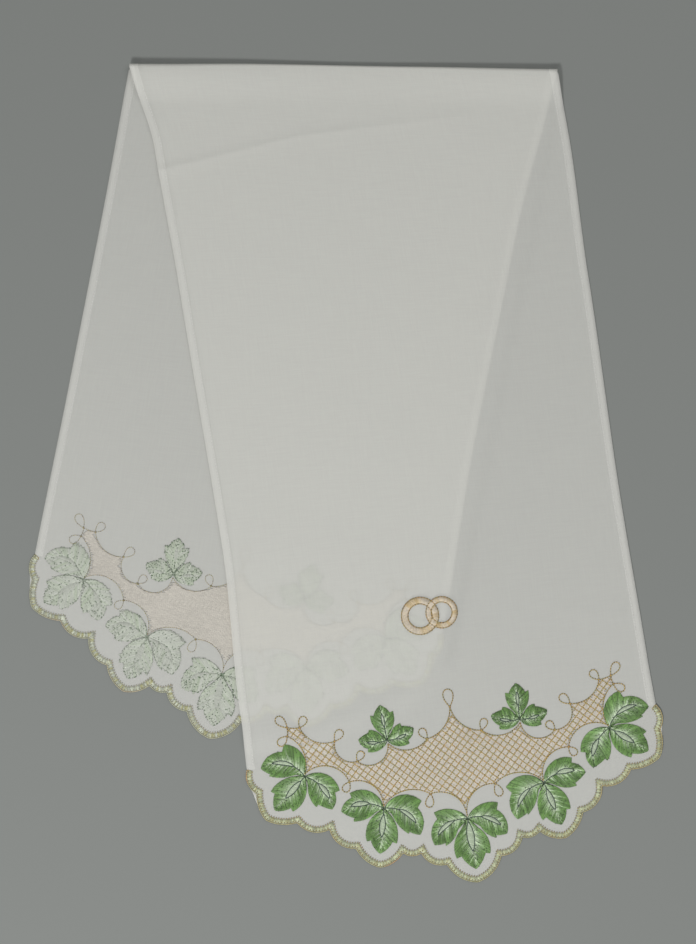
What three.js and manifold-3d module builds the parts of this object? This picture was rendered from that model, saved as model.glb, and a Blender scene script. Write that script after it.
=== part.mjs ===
// A long towel of sheer white cloth with scalloped, embroidered ends, as used at weddings.
// It is folded once across its middle and lies flat: the front layer leans to the right as
// it comes down from the fold, and the back layer, which is shorter, leans to the left.
// Millimetres, +Z up, +Y towards the fold, lying on z = 0.
import * as THREE from 'three';
import { mergeVertices } from 'three/addons/utils/BufferGeometryUtils.js';
import Module from 'manifold-3d';

const wasm = await Module();
wasm.setup();

// Driving dimensions, in millimetres and degrees
const CLOTH_THICKNESS = 1;
const LAYER_GAP = 1; // air between the two layers
const HEM_WIDTH = 8;
const HEM_RISE = 0.4; // the turned hem is this much thicker than the cloth
const EDGING_WIDTH = 6;
const STITCH_GAP = 0.3; // between the cloth and the thread work on it
const FRONT_STITCH = 0.8; // raised satin stitch on the right side
const BACK_STITCH = 0.5; // flatter thread on the wrong side, which the back layer shows
const FOLD = { x: -2.58, y: 397.84, length: 418.4, tilt: -0.67 };

// How far the front layer lies above the back one, and how it comes down beyond it
const DRAPE = { clear: 3, fall: 16, lift: 0.8, liftFrom: 420, liftTo: 480 };

// Each layer of the folded strip, measured from the fold's middle: its lean from straight
// down, how far its middle line is shifted, where the scalloped end begins and how far the
// long edges are from the middle line at each share of the way down to that end.
const FRONT = {
  lean: 9.1,
  shift: 3.7,
  corner: 664.5,
  upward: 1,
  edges: [
    { down: 0.12, left: -199, right: 203.8 },
    { down: 0.32, left: -196.6, right: 200.8 },
    { down: 0.68, left: -195.2, right: 197.6 },
    { down: 0.93, left: -203.6, right: 198.8 },
    { down: 1, left: -206, right: 199.6 },
  ],
  steps: [
    { to: 120, step: 9 },
    { to: 520, step: 27 },
    { to: 660, step: 12 },
  ],
};
const BACK = {
  lean: -11,
  shift: -3.2,
  corner: 526,
  upward: -1,
  edges: [
    { down: 0.3, left: -201.2, right: 200.6 },
    { down: 0.65, left: -201.4, right: 199.4 },
    { down: 1, left: -202.6, right: 204.6 },
  ],
  steps: [
    { to: 30, step: 10 },
    { to: 480, step: 90 },
  ],
};

// The back layer's end as a blunt point: a place on each straight side, measured across from
// the middle line and up from the tip, and how far that side is turned from the long edge.
const BACK_SHAPE = [
  { across: 204.6, up: 122, turn: 0 },
  { across: 186, up: 88, turn: 33 },
  { across: 98, up: 28, turn: 55 },
  { across: 0, up: 0, turn: 74 },
];

// The open loop of the fold: its height at the left end, in the middle and at the right end
const LOOP = [
  { share: 0, height: 9 },
  { share: 0.5, height: 5.5 },
  { share: 1, height: 8 },
];
const LOOP_LENGTH = 34;
const LOOP_STEPS = 8;

// Columns across the strip, with a narrow step beside each hem
const COLUMNS = 30;
const HEM_STEP = 1;
const HEM_COLUMNS = 2;

// Soft creases of the front layer, as ridges from one place to another
const CREASES = [
  { x0: -188, y0: 296, x1: -45, y1: 331, rise0: 2.2, rise1: 2.4, spread: 9 },
  { x0: -45, y0: 331, x1: 118, y1: 351, rise0: 2.4, rise1: 0.6, spread: 8 },
  { x0: 215, y0: -135, x1: 284, y1: -137, rise0: 0.8, rise1: 0.8, spread: 6 },
];

// The scalloped edge from the corner to the tip, on the right half, as arcs: the cusp or the
// blunt corner where each arc ends, measured across from the middle line and up from the tip,
// and how far the arc swells beyond the straight line between its ends.
const END_HEIGHT = 144.5;
const SCALLOPS = [
  { across: 200.2, up: 120, swell: 4.5, steps: 4 },
  { across: 195.8, up: 93, swell: 2.4, steps: 5 },
  { across: 165.5, up: 85.5, swell: 3.1, steps: 5 },
  { across: 135.2, up: 74, swell: 6, steps: 5 },
  { across: 112.7, up: 51.5, swell: 6, steps: 5 },
  { across: 92, up: 29.2, swell: 3.4, steps: 5 },
  { across: 67.8, up: 39.8, swell: 2.9, steps: 5 },
  { across: 50, up: 36.8, swell: 3, steps: 3 },
  { across: 27, up: 22, swell: 5, steps: 5 },
  { across: 0, up: 0, swell: 4.6, steps: 6 },
];

// Three-lobed leaves: the turn in degrees and the reach of each lobe's two side teeth and of
// its tip, from the point where the lobes meet.
const LOBES = {
  tip: [
    { first: -109, firstReach: 33.8, tip: -60, tipReach: 41.5, last: -47, lastReach: 34.2 },
    { first: -24.2, firstReach: 40.8, tip: 0.6, tipReach: 50.3, last: 24.2, lastReach: 40.8 },
    { first: 47, firstReach: 34.2, tip: 60, tipReach: 41.5, last: 109, lastReach: 33.8 },
  ],
  shoulder: [
    { first: -112, firstReach: 36.8, tip: -83.5, tipReach: 42, last: -64.5, lastReach: 32.3 },
    { first: -25.5, firstReach: 36.5, tip: -2.6, tipReach: 44.6, last: 22.6, lastReach: 36.7 },
    { first: 46.5, firstReach: 35, tip: 56, tipReach: 44, last: 103.7, lastReach: 37.8 },
  ],
  small: [
    { first: -110, firstReach: 22.3, tip: -77, tipReach: 28.4, last: -49, lastReach: 20.8 },
    { first: -23, firstReach: 29.4, tip: 0, tipReach: 35.3, last: 23, lastReach: 29.4 },
    { first: 49, firstReach: 20.8, tip: 77, tipReach: 28.4, last: 110, lastReach: 22.3 },
  ],
};

// How far the side of a lobe swells below each tooth and its crown above it, as shares of
// their lengths
const SWELLS = {
  tip: [
    { firstSide: 0.17, firstCrown: 0.18, lastCrown: 0.06, lastSide: 0.12 },
    { firstSide: 0.155, firstCrown: 0.085, lastCrown: 0.085, lastSide: 0.155 },
    { firstSide: 0.12, firstCrown: 0.06, lastCrown: 0.18, lastSide: 0.17 },
  ],
  shoulder: [
    { firstSide: 0.26, firstCrown: 0.15, lastCrown: 0.05, lastSide: 0.13 },
    { firstSide: 0.17, firstCrown: 0.1, lastCrown: 0.1, lastSide: 0.13 },
    { firstSide: 0.1, firstCrown: 0.05, lastCrown: 0.18, lastSide: 0.25 },
  ],
  small: [
    { firstSide: 0.17, firstCrown: 0.14, lastCrown: 0.06, lastSide: 0.12 },
    { firstSide: 0.13, firstCrown: 0.09, lastCrown: 0.09, lastSide: 0.13 },
    { firstSide: 0.12, firstCrown: 0.06, lastCrown: 0.14, lastSide: 0.17 },
  ],
};

// The slits between lobes, each from a round drop near the point where the lobes meet
const SLITS = {
  tip: [
    { turn: -44.7, reach: 14.8, half: 1.5 },
    { turn: 44.7, reach: 14.8, half: 1.5 },
  ],
  shoulder: [
    { turn: -61.4, reach: 7.8, half: 1.2 },
    { turn: 53.5, reach: 9.2, half: 1.3 },
  ],
  small: [
    { turn: -34, reach: 8.8, half: 0.9 },
    { turn: 34, reach: 8.8, half: 0.9 },
  ],
};

// The notch beside a tooth lies this share of the way to the tip, pulled in by a factor
const NOTCH = { share: 0.2, pull: 0.9 };
const LEAF_STEPS = { side: 6, crown: 3, drop: 3 };
const STEM = { reach: 2.5, turn: 40 };

// Where the leaves sit at an end, measured as the scallops are; the sign of mirror turns the
// shape over, and a leaf with a side is repeated on both sides of the middle line.
const LEAVES = [
  { name: 'corner_leaf', kind: 'shoulder', across: 151, up: 129, turn: 53, mirror: 1 },
  { name: 'side_leaf', kind: 'shoulder', across: 79.4, up: 85.8, turn: 11.3, mirror: -1 },
  { name: 'small_leaf', kind: 'small', across: 65.7, up: 151.4, turn: 177, mirror: 1 },
];
const TIP_LEAF = { name: 'tip_leaf', kind: 'tip', across: 0, up: 63.2, turn: 0, mirror: 1 };

const RINGS = [
  { across: -14.7, up: 266.7, outer: 18.3, inner: 11.8 },
  { across: 6.7, up: 266.8, outer: 15.4, inner: 10.2 },
];
const RING_STEPS = 32;

// Rows of a layer, counted from its end, that the thread work on it takes its height from
const FRONT_SKIN_ROWS = 16;
const BACK_SKIN_ROWS = 3;

// Height and depth of the upright prisms that cut the thread work out
const PRISM = { from: -2, depth: 24 };

const ROUGHNESS = { cloth: 0.8, thread: 0.55 };
const COLOURS = {
  cloth: '#e8eae5',
  leaf: '#5c9a48',
  leafWrongSide: '#b4cbb0',
  edging: '#c6ca98',
  edgingWrongSide: '#d3d2ac',
  rings: '#b79c5c',
};

function radians(degrees) {
  return (degrees * Math.PI) / 180;
}

function mix(a, b, share) {
  return a + (b - a) * share;
}

function smooth(share) {
  const held = Math.min(1, Math.max(0, share));
  return held * held * (3 - 2 * held);
}

// Reads a table whose rows are in order of one column, easing from row to row
function lookUp(rows, key, value, column) {
  const next = Math.max(1, rows.findIndex((row) => row[key] >= value));
  const before = rows[next - 1];
  const after = rows[next];
  const share = (value - before[key]) / (after[key] - before[key]);
  return mix(before[column], after[column], smooth(share));
}

// The place on the table of a point of a layer, given across and along the strip
function place(layer, across, along) {
  const lean = radians(layer.lean);
  const sideways = layer.shift + across;
  return {
    x: FOLD.x + sideways * Math.cos(lean) + along * Math.sin(lean),
    y: FOLD.y + sideways * Math.sin(lean) - along * Math.cos(lean),
  };
}

// The other way round: how far across and along a layer a place on the table lies
function spotOn(layer, x, y) {
  const lean = radians(layer.lean);
  const east = x - FOLD.x;
  const north = y - FOLD.y;
  return {
    across: east * Math.cos(lean) + north * Math.sin(lean) - layer.shift,
    along: east * Math.sin(lean) - north * Math.cos(lean),
  };
}

// The long edges at a share of the way down, starting at the ends of the fold line
function edge(layer, side, down) {
  const reach = (FOLD.length / 2) * Math.cos(radians(layer.lean - FOLD.tilt));
  const atFold = { down: 0, left: -reach - layer.shift, right: reach - layer.shift };
  return lookUp([atFold, ...layer.edges], 'down', down, side);
}

// A point of a layer by its share across and its share down. Rows near the fold run along
// the fold line, which crosses the strip at a slant, and the last row runs square across.
function stripPoint(layer, share, down) {
  const atFold = mix(edge(layer, 'left', 0), edge(layer, 'right', 0), share);
  const slant = Math.tan(radians(layer.lean - FOLD.tilt));
  const foldAlong = (layer.shift + atFold) * slant;
  const across = mix(edge(layer, 'left', down), edge(layer, 'right', down), share);
  return place(layer, across, mix(foldAlong, layer.corner, down));
}

// How far a place lies outside the back layer, whose end is taken as a blunt point
function outsideBack(x, y) {
  const spot = spotOn(BACK, x, y);
  const tip = BACK.corner + END_HEIGHT;
  const distances = BACK_SHAPE.map((side) => {
    const turn = radians(side.turn);
    const out = Math.abs(spot.across) - side.across;
    const down = spot.along - (tip - side.up);
    return out * Math.cos(turn) + down * Math.sin(turn);
  });
  return Math.max(...distances);
}

// A ridge whose cross-section is a bell curve, fading out past its two ends
function ridge(crease, x, y) {
  const runX = crease.x1 - crease.x0;
  const runY = crease.y1 - crease.y0;
  const length = Math.hypot(runX, runY);
  const along = ((x - crease.x0) * runX + (y - crease.y0) * runY) / length;
  const aside = ((y - crease.y0) * runX - (x - crease.x0) * runY) / length;
  const past = Math.max(0, -along, along - length);
  const rise = mix(crease.rise0, crease.rise1, smooth(along / length));
  return rise * Math.exp(-(aside * aside + past * past) / (crease.spread * crease.spread));
}

// Height of the middle of the front layer: on the back layer, or on the table beyond it
function frontHeight(x, y) {
  const spot = spotOn(BACK, x, y);
  const lift = DRAPE.lift * smooth((spot.along - DRAPE.liftFrom) / (DRAPE.liftTo - DRAPE.liftFrom));
  const step = CLOTH_THICKNESS + LAYER_GAP + lift;
  const over = 1 - smooth((outsideBack(x, y) - DRAPE.clear) / DRAPE.fall);
  const creased = CREASES.reduce((sum, crease) => sum + ridge(crease, x, y), 0);
  return CLOTH_THICKNESS / 2 + step * over + creased;
}

// Distance of a place from the fold line, towards the ends of the towel
function fromFold(x, y) {
  const tilt = radians(FOLD.tilt);
  return (x - FOLD.x) * Math.sin(tilt) - (y - FOLD.y) * Math.cos(tilt);
}

function loopRadius(share) {
  return (lookUp(LOOP, 'share', share, 'height') - CLOTH_THICKNESS) / 2;
}

// The front layer comes down from the top of the fold's loop to its resting height
function frontPoint(share, down) {
  const { x, y } = stripPoint(FRONT, share, down);
  const radius = loopRadius(share);
  const top = CLOTH_THICKNESS / 2 + 2 * radius;
  const past = fromFold(x, y) - radius - CLOTH_THICKNESS / 2;
  const rest = frontHeight(x, y);
  return new THREE.Vector3(x, y, mix(Math.max(top, rest), rest, smooth(past / LOOP_LENGTH)));
}

function backPoint(share, down) {
  const { x, y } = stripPoint(BACK, share, down);
  return new THREE.Vector3(x, y, CLOTH_THICKNESS / 2);
}

// The round nose of the fold: a half circle that stands on the back layer
function nosePoint(share, turn) {
  const tilt = radians(FOLD.tilt);
  const radius = loopRadius(share);
  const inward = CLOTH_THICKNESS / 2 + radius * (1 - Math.cos(turn));
  const along = (share - 0.5) * FOLD.length;
  return new THREE.Vector3(
    FOLD.x + along * Math.cos(tilt) + inward * Math.sin(tilt),
    FOLD.y + along * Math.sin(tilt) - inward * Math.cos(tilt),
    CLOTH_THICKNESS / 2 + radius * (1 + Math.sin(turn)),
  );
}

// Shares of the way down at which a layer has rows, from its table of steps
function rowShares(layer) {
  const shares = [];
  let reached = 0;
  for (const stretch of layer.steps) {
    while (reached + stretch.step <= stretch.to) {
      reached += stretch.step;
      shares.push(reached / layer.corner);
    }
  }
  return [...shares, 1];
}

// Shares of the width at which the strip has columns
function columnShares() {
  const width = FRONT.edges.at(-1).right - FRONT.edges.at(-1).left;
  const hem = HEM_WIDTH / width;
  const inside = (HEM_WIDTH + HEM_STEP) / width;
  const middle = Array.from({ length: COLUMNS + 1 }, (_, i) => mix(inside, 1 - inside, i / COLUMNS));
  return [0, hem, ...middle, 1 - hem, 1];
}

const SHARES = columnShares();

function inHem(column) {
  return column < HEM_COLUMNS || column >= SHARES.length - HEM_COLUMNS;
}

// One row of the middle surface: its points, which way the outer side faces and its hems
function row(point, upward, hemRise) {
  return SHARES.map((share, column) => ({
    at: point(share),
    upward,
    flat: hemRise === 0,
    hem: inHem(column) ? hemRise : 0,
  }));
}

function frontRows() {
  return rowShares(FRONT).map((down) => {
    const rise = down === 1 ? 0 : HEM_RISE;
    return row((share) => frontPoint(share, down), FRONT.upward, rise);
  });
}

function backRows() {
  return rowShares(BACK).map((down) => {
    const rise = down === 1 ? 0 : HEM_RISE;
    return row((share) => backPoint(share, down), BACK.upward, rise);
  });
}

function noseRows() {
  return Array.from({ length: LOOP_STEPS + 1 }, (_, i) => {
    const turn = mix(-Math.PI / 2, Math.PI / 2, i / LOOP_STEPS);
    const layer = turn < 0 ? BACK : FRONT;
    return row((share) => nosePoint(share, turn), layer.upward, HEM_RISE);
  });
}

// Points of an arc between two places that swells to the left of the way it runs
function arc(from, to, swell, steps) {
  const run = { x: to.x - from.x, y: to.y - from.y };
  const half = Math.hypot(run.x, run.y) / 2;
  const radius = (half * half + swell * swell) / (2 * swell);
  const middle = Math.atan2(run.y, run.x) + Math.PI / 2;
  const centre = {
    x: (from.x + to.x) / 2 + (swell - radius) * Math.cos(middle),
    y: (from.y + to.y) / 2 + (swell - radius) * Math.sin(middle),
  };
  const spread = 2 * Math.asin(Math.min(1, half / radius));
  const sweep = Math.abs(swell) > half ? Math.PI - spread / 2 : spread / 2;
  return Array.from({ length: steps + 1 }, (_, i) => {
    const turn = middle + mix(sweep, -sweep, i / steps);
    return { x: centre.x + radius * Math.cos(turn), y: centre.y + radius * Math.sin(turn), centre };
  });
}

// The scallops of a layer's end from its left corner to its right one, in strip terms with x
// across and y up from the tip. The corners are where the long edges meet the last row.
function scallops(layer) {
  const corner = layer.edges.at(-1);
  const leftStart = { x: corner.left, y: END_HEIGHT };
  const rightStart = { x: corner.right, y: END_HEIGHT };
  const left = [leftStart, ...SCALLOPS.map((row) => ({ x: -row.across, y: row.up }))];
  const right = [rightStart, ...SCALLOPS.map((row) => ({ x: row.across, y: row.up }))];
  const down = SCALLOPS.map((row, i) => arc(left[i], left[i + 1], -row.swell, row.steps));
  const up = SCALLOPS.map((row, i) => arc(right[i + 1], right[i], -row.swell, row.steps));
  return [...down, ...up.reverse()];
}

function endPlace(layer, spot) {
  return place(layer, spot.x, layer.corner + END_HEIGHT - spot.y);
}

// The scalloped outline between the two corners, without the corners themselves
function endOutline(layer) {
  const spots = scallops(layer).flatMap((points) => points.slice(0, -1));
  return spots.slice(1).map((spot) => {
    const { x, y } = endPlace(layer, spot);
    const at = new THREE.Vector3(x, y, CLOTH_THICKNESS / 2);
    return { at, upward: layer.upward, flat: true, hem: 0 };
  });
}

function turned(contour, [a, b, c]) {
  const [p, q, r] = [contour[a].at, contour[b].at, contour[c].at];
  return (q.x - p.x) * (r.y - p.y) - (q.y - p.y) * (r.x - p.x);
}

// Middle surface of a stretch of the strip: a grid of rows, closed at one or both ends by the
// flat scalloped end. Its rim runs once round it, anticlockwise as the outer side sees it.
function stripSurface(rows, firstEnd, lastEnd) {
  const columns = SHARES.length;
  const points = rows.flat();
  const triangles = [];
  for (let i = 0; i < rows.length - 1; i += 1) {
    for (let j = 0; j < columns - 1; j += 1) {
      const here = i * columns + j;
      const below = here + columns;
      triangles.push([here, below, here + 1], [here + 1, below, below + 1]);
    }
  }
  const leftEdge = rows.map((_, i) => i * columns);
  const rightEdge = rows.map((_, i) => i * columns + columns - 1);
  const addEnd = (layer, rowIndex) => {
    const outline = endOutline(layer);
    const outlineIndices = outline.map((_, i) => points.length + i);
    points.push(...outline);
    const rowIndices = SHARES.map((_, j) => rowIndex * columns + j);
    const ring = [...outlineIndices, ...rowIndices.reverse()];
    const contour = ring.map((index) => points[index]);
    const flat = contour.map((point) => new THREE.Vector2(point.at.x, point.at.y));
    for (const face of THREE.ShapeUtils.triangulateShape(flat, [])) {
      const kept = turned(contour, face) * layer.upward > 0 ? face : [...face].reverse();
      triangles.push(kept.map((index) => ring[index]));
    }
    return outlineIndices;
  };
  const firstIndices = rows[0].map((_, j) => j);
  const lastIndices = rows[0].map((_, j) => (rows.length - 1) * columns + j);
  const first = firstEnd ? addEnd(firstEnd, 0) : firstIndices.slice(1, -1);
  const last = lastEnd ? addEnd(lastEnd, rows.length - 1) : lastIndices.slice(1, -1);
  const rim = [...leftEdge, ...last, ...rightEdge.reverse(), ...first.reverse()];
  return { points, triangles, rim };
}

// The way the outer side faces at each point: the mean of its triangles, or straight up or
// down on the flat ends
function facings(surface) {
  const sums = surface.points.map(() => new THREE.Vector3());
  for (const triangle of surface.triangles) {
    const [p, q, r] = triangle.map((index) => surface.points[index].at);
    const area = q.clone().sub(p).cross(r.clone().sub(p));
    triangle.forEach((index) => sums[index].add(area));
  }
  return sums.map((sum, index) => {
    const point = surface.points[index];
    return point.flat ? new THREE.Vector3(0, 0, point.upward) : sum.normalize();
  });
}

// Closed solid between two distances from a middle surface, the outer side being positive
function slab(surface, low, high, withHems) {
  const ways = facings(surface);
  const spots = [];
  surface.points.forEach((point, index) => {
    const hem = withHems ? point.hem : 0;
    const outer = high + (point.upward > 0 ? hem : 0);
    const inner = low - (point.upward < 0 ? hem : 0);
    spots.push(point.at.clone().addScaledVector(ways[index], outer));
    spots.push(point.at.clone().addScaledVector(ways[index], inner));
  });
  const corners = [];
  for (const [a, b, c] of surface.triangles) {
    corners.push(2 * a, 2 * b, 2 * c, 2 * a + 1, 2 * c + 1, 2 * b + 1);
  }
  surface.rim.forEach((index, i) => {
    const next = surface.rim[(i + 1) % surface.rim.length];
    corners.push(2 * index, 2 * index + 1, 2 * next + 1, 2 * index, 2 * next + 1, 2 * next);
  });
  const geometry = new THREE.BufferGeometry().setFromPoints(spots);
  geometry.setIndex(corners);
  return geometry;
}

// A closed geometry as a solid that can be joined and cut, and back again
function solid(geometry) {
  const bare = geometry.clone();
  bare.deleteAttribute('normal');
  bare.deleteAttribute('uv');
  const merged = mergeVertices(bare, 1e-4);
  return new wasm.Manifold(
    new wasm.Mesh({
      numProp: 3,
      vertProperties: new Float32Array(merged.attributes.position.array),
      triVerts: new Uint32Array(merged.index.array),
    }),
  );
}

function geometryOf(body) {
  const mesh = body.getMesh();
  const geometry = new THREE.BufferGeometry();
  geometry.setAttribute('position', new THREE.BufferAttribute(mesh.vertProperties, 3));
  geometry.setIndex(new THREE.BufferAttribute(mesh.triVerts, 1));
  geometry.computeVertexNormals();
  return geometry;
}

// An upright prism over an outline on the table, tall enough to cut through a layer
function prism(outline) {
  const shape = new THREE.Shape(outline.map(({ x, y }) => new THREE.Vector2(x, y)));
  const geometry = new THREE.ExtrudeGeometry(shape, { depth: PRISM.depth, bevelEnabled: false });
  geometry.translate(0, 0, PRISM.from);
  return solid(geometry);
}

// A place in a leaf's own frame, x across and y towards the tip of its middle lobe
function polar(turn, reach) {
  return { x: reach * Math.sin(radians(turn)), y: reach * Math.cos(radians(turn)) };
}

// The notch between a side tooth and the tip, pulled in towards the point where lobes meet
function notch(tooth, tip) {
  return {
    x: mix(tooth.x, tip.x, NOTCH.share) * NOTCH.pull,
    y: mix(tooth.y, tip.y, NOTCH.share) * NOTCH.pull,
  };
}

// An arc of a leaf's outline that swells outwards by a share of the distance it spans
function leafArc(from, to, share, steps) {
  return arc(from, to, share * Math.hypot(to.x - from.x, to.y - from.y), steps);
}

// The two ends of a slit's round drop, on either side of the way the slit runs
function dropEnds(slit, before, after) {
  const drop = polar(slit.turn, slit.reach);
  const one = polar(before.last, before.lastReach);
  const other = polar(after.first, after.firstReach);
  const ahead = { x: (one.x + other.x) / 2 - drop.x, y: (one.y + other.y) / 2 - drop.y };
  const share = slit.half / Math.hypot(ahead.x, ahead.y);
  return [
    { x: drop.x - ahead.y * share, y: drop.y + ahead.x * share },
    { x: drop.x + ahead.y * share, y: drop.y - ahead.x * share },
  ];
}

// The outline of a leaf in its own frame, from one side of the stem round to the other
function leafOutline(kind) {
  const lobes = LOBES[kind];
  const drops = SLITS[kind].map((slit, i) => dropEnds(slit, lobes[i], lobes[i + 1]));
  const stemStart = polar(lobes[0].first - STEM.turn, STEM.reach);
  const stemEnd = polar(lobes.at(-1).last + STEM.turn, STEM.reach);
  return lobes.flatMap((lobe, i) => {
    const swells = SWELLS[kind][i];
    const first = polar(lobe.first, lobe.firstReach);
    const tip = polar(lobe.tip, lobe.tipReach);
    const last = polar(lobe.last, lobe.lastReach);
    const start = i === 0 ? stemStart : drops[i - 1][1];
    const end = drops[i] ? drops[i][0] : stemEnd;
    const round = drops[i] ? arc(...drops[i], -SLITS[kind][i].half, LEAF_STEPS.drop) : [end];
    return [
      ...leafArc(start, first, swells.firstSide, LEAF_STEPS.side),
      ...leafArc(notch(first, tip), tip, swells.firstCrown, LEAF_STEPS.crown).slice(0, -1),
      ...leafArc(tip, notch(last, tip), swells.lastCrown, LEAF_STEPS.crown),
      ...leafArc(last, end, swells.lastSide, LEAF_STEPS.side).slice(0, -1),
      ...(drops[i] ? round.slice(0, -1) : round),
    ];
  });
}

// A leaf's outline on the table, for a leaf on the given side of a layer's middle line
function leafPlace(layer, leaf, side) {
  const turn = radians(leaf.turn);
  return leafOutline(leaf.kind).map((spot) => {
    const x = spot.x * leaf.mirror;
    const out = x * Math.cos(turn) + spot.y * Math.sin(turn);
    const down = spot.y * Math.cos(turn) - x * Math.sin(turn);
    return endPlace(layer, { x: side * (leaf.across + out), y: leaf.up - down });
  });
}

// The inner edge of the satin edging along one scallop, an arc round the same centre
function insetArc(points) {
  const { centre } = points[0];
  const radius = Math.hypot(points[0].x - centre.x, points[0].y - centre.y);
  const shrink = (radius - EDGING_WIDTH) / radius;
  return points.map((spot) => ({
    x: mix(centre.x, spot.x, shrink),
    y: mix(centre.y, spot.y, shrink),
  }));
}

// The corner that two inner arcs make over the cusp between them
function mitre(cusp, before, after) {
  const one = { x: (before.x - cusp.x) / EDGING_WIDTH, y: (before.y - cusp.y) / EDGING_WIDTH };
  const other = { x: (after.x - cusp.x) / EDGING_WIDTH, y: (after.y - cusp.y) / EDGING_WIDTH };
  const reach = EDGING_WIDTH / (1 + one.x * other.x + one.y * other.y);
  return { x: cusp.x + (one.x + other.x) * reach, y: cusp.y + (one.y + other.y) * reach };
}

// True at a blunt corner, where the way inwards turns anticlockwise, and not at a cusp
function isBlunt(corner, before, after) {
  const one = { x: before.x - corner.x, y: before.y - corner.y };
  const other = { x: after.x - corner.x, y: after.y - corner.y };
  return one.x * other.y - one.y * other.x > 0;
}

// Satin edging: a band along the scallops, with a mitre at each cusp and blunt corner. The
// inner arcs would cross at a blunt corner, so they stop a point short of it.
function edgingOutline(layer) {
  const outer = scallops(layer);
  const inner = outer.map(insetArc);
  const blunt = inner.map((points, i) =>
    i > 0 ? isBlunt(outer[i][0], inner[i - 1].at(-1), points[0]) : false,
  );
  const inside = inner.flatMap((points, i) => {
    const following = inner[i + 1];
    const kept = points.slice(blunt[i] ? 1 : 0, blunt[i + 1] ? -1 : undefined);
    return following ? [...kept, mitre(outer[i].at(-1), points.at(-1), following[0])] : kept;
  });
  const outside = outer.flatMap((points, i) => (i < outer.length - 1 ? points.slice(0, -1) : points));
  return [...outside, ...inside.reverse()].map((spot) => endPlace(layer, spot));
}

function circle(layer, ring, radius) {
  return Array.from({ length: RING_STEPS }, (_, i) => {
    const turn = (2 * Math.PI * i) / RING_STEPS;
    return endPlace(layer, {
      x: ring.across + radius * Math.cos(turn),
      y: ring.up + radius * Math.sin(turn),
    });
  });
}

function ringPair(layer) {
  const bands = RINGS.map((ring) =>
    prism(circle(layer, ring, ring.outer)).subtract(prism(circle(layer, ring, ring.inner))),
  );
  return bands[0].add(bands[1]);
}

const towel = new THREE.Group();

function addPiece(name, geometry, colour, roughness) {
  const material = new THREE.MeshStandardMaterial({ color: colour, roughness, metalness: 0 });
  const mesh = new THREE.Mesh(geometry, material);
  mesh.name = name;
  towel.add(mesh);
}

// Thread work of one end: what an upright prism cuts out of a skin just above the cloth
function addThreadWork(layer, label, skin, colours) {
  const add = (name, body, colour) => {
    addPiece(`${name}_${label}`, geometryOf(skin.intersect(body)), colour, ROUGHNESS.thread);
  };
  add('edging', prism(edgingOutline(layer)), colours.edging);
  add(TIP_LEAF.name, prism(leafPlace(layer, TIP_LEAF, 1)), colours.leaf);
  for (const leaf of LEAVES) {
    add(`left_${leaf.name}`, prism(leafPlace(layer, leaf, -1)), colours.leaf);
    add(`right_${leaf.name}`, prism(leafPlace(layer, leaf, 1)), colours.leaf);
  }
  if (layer === FRONT) {
    add('rings', ringPair(layer), colours.rings);
  }
}

const front = frontRows();
const back = backRows();
const cloth = stripSurface([...back.toReversed(), ...noseRows(), ...front], BACK, FRONT);
const half = CLOTH_THICKNESS / 2;
addPiece('towel', slab(cloth, -half, half, true), COLOURS.cloth, ROUGHNESS.cloth);

const frontSkin = stripSurface(front.slice(-FRONT_SKIN_ROWS), null, FRONT);
const frontLow = half + STITCH_GAP;
addThreadWork(FRONT, 'front', solid(slab(frontSkin, frontLow, frontLow + FRONT_STITCH, false)), {
  leaf: COLOURS.leaf,
  edging: COLOURS.edging,
  rings: COLOURS.rings,
});

const backSkin = stripSurface(back.slice(-BACK_SKIN_ROWS).reverse(), BACK, null);
const backLow = -half - STITCH_GAP;
addThreadWork(BACK, 'back', solid(slab(backSkin, backLow - BACK_STITCH, backLow, false)), {
  leaf: COLOURS.leafWrongSide,
  edging: COLOURS.edgingWrongSide,
});

export default towel;
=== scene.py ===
"""A long sheer wedding towel, folded once and lying flat, with embroidered scalloped ends.

Lengths in the tables are millimetres, and the mesh is made in metres. On each layer a place
is given across from its middle line and up from the tip of its scalloped end.
"""

import math

import bpy
import numpy as np
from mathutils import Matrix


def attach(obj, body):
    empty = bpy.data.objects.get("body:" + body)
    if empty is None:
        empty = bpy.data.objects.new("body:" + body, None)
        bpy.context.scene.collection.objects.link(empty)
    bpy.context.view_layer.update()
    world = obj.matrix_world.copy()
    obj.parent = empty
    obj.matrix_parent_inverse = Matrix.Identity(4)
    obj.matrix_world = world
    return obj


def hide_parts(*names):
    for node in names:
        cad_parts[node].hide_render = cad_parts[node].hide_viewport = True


bl_info = {
    "name": "Wedding towel",
    "version": (1, 0, 0),
    "blender": (4, 5, 0),
    "location": "3D View > Sidebar > Towel",
    "description": "Builds a folded, embroidered wedding towel",
    "category": "Object",
}

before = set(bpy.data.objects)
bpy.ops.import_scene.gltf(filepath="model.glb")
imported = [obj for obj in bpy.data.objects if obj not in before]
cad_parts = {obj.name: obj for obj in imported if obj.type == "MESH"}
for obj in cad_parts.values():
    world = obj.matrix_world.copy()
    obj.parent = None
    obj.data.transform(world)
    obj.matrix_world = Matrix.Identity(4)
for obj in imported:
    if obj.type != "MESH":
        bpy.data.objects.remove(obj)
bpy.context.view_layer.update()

MM = 0.001
RANDOM = np.random.default_rng(7)
MIRROR = np.array([-1, 1])
TINY = 1e-6

# The picture's height and scale, and the camera, which looks straight down
IMAGE_HEIGHT = 944
MM_PER_PIXEL = 0.98
CAMERA_SPOT = (1.83, 1.43)
CAMERA_HEIGHT = 2600
SENSOR = 36

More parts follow.
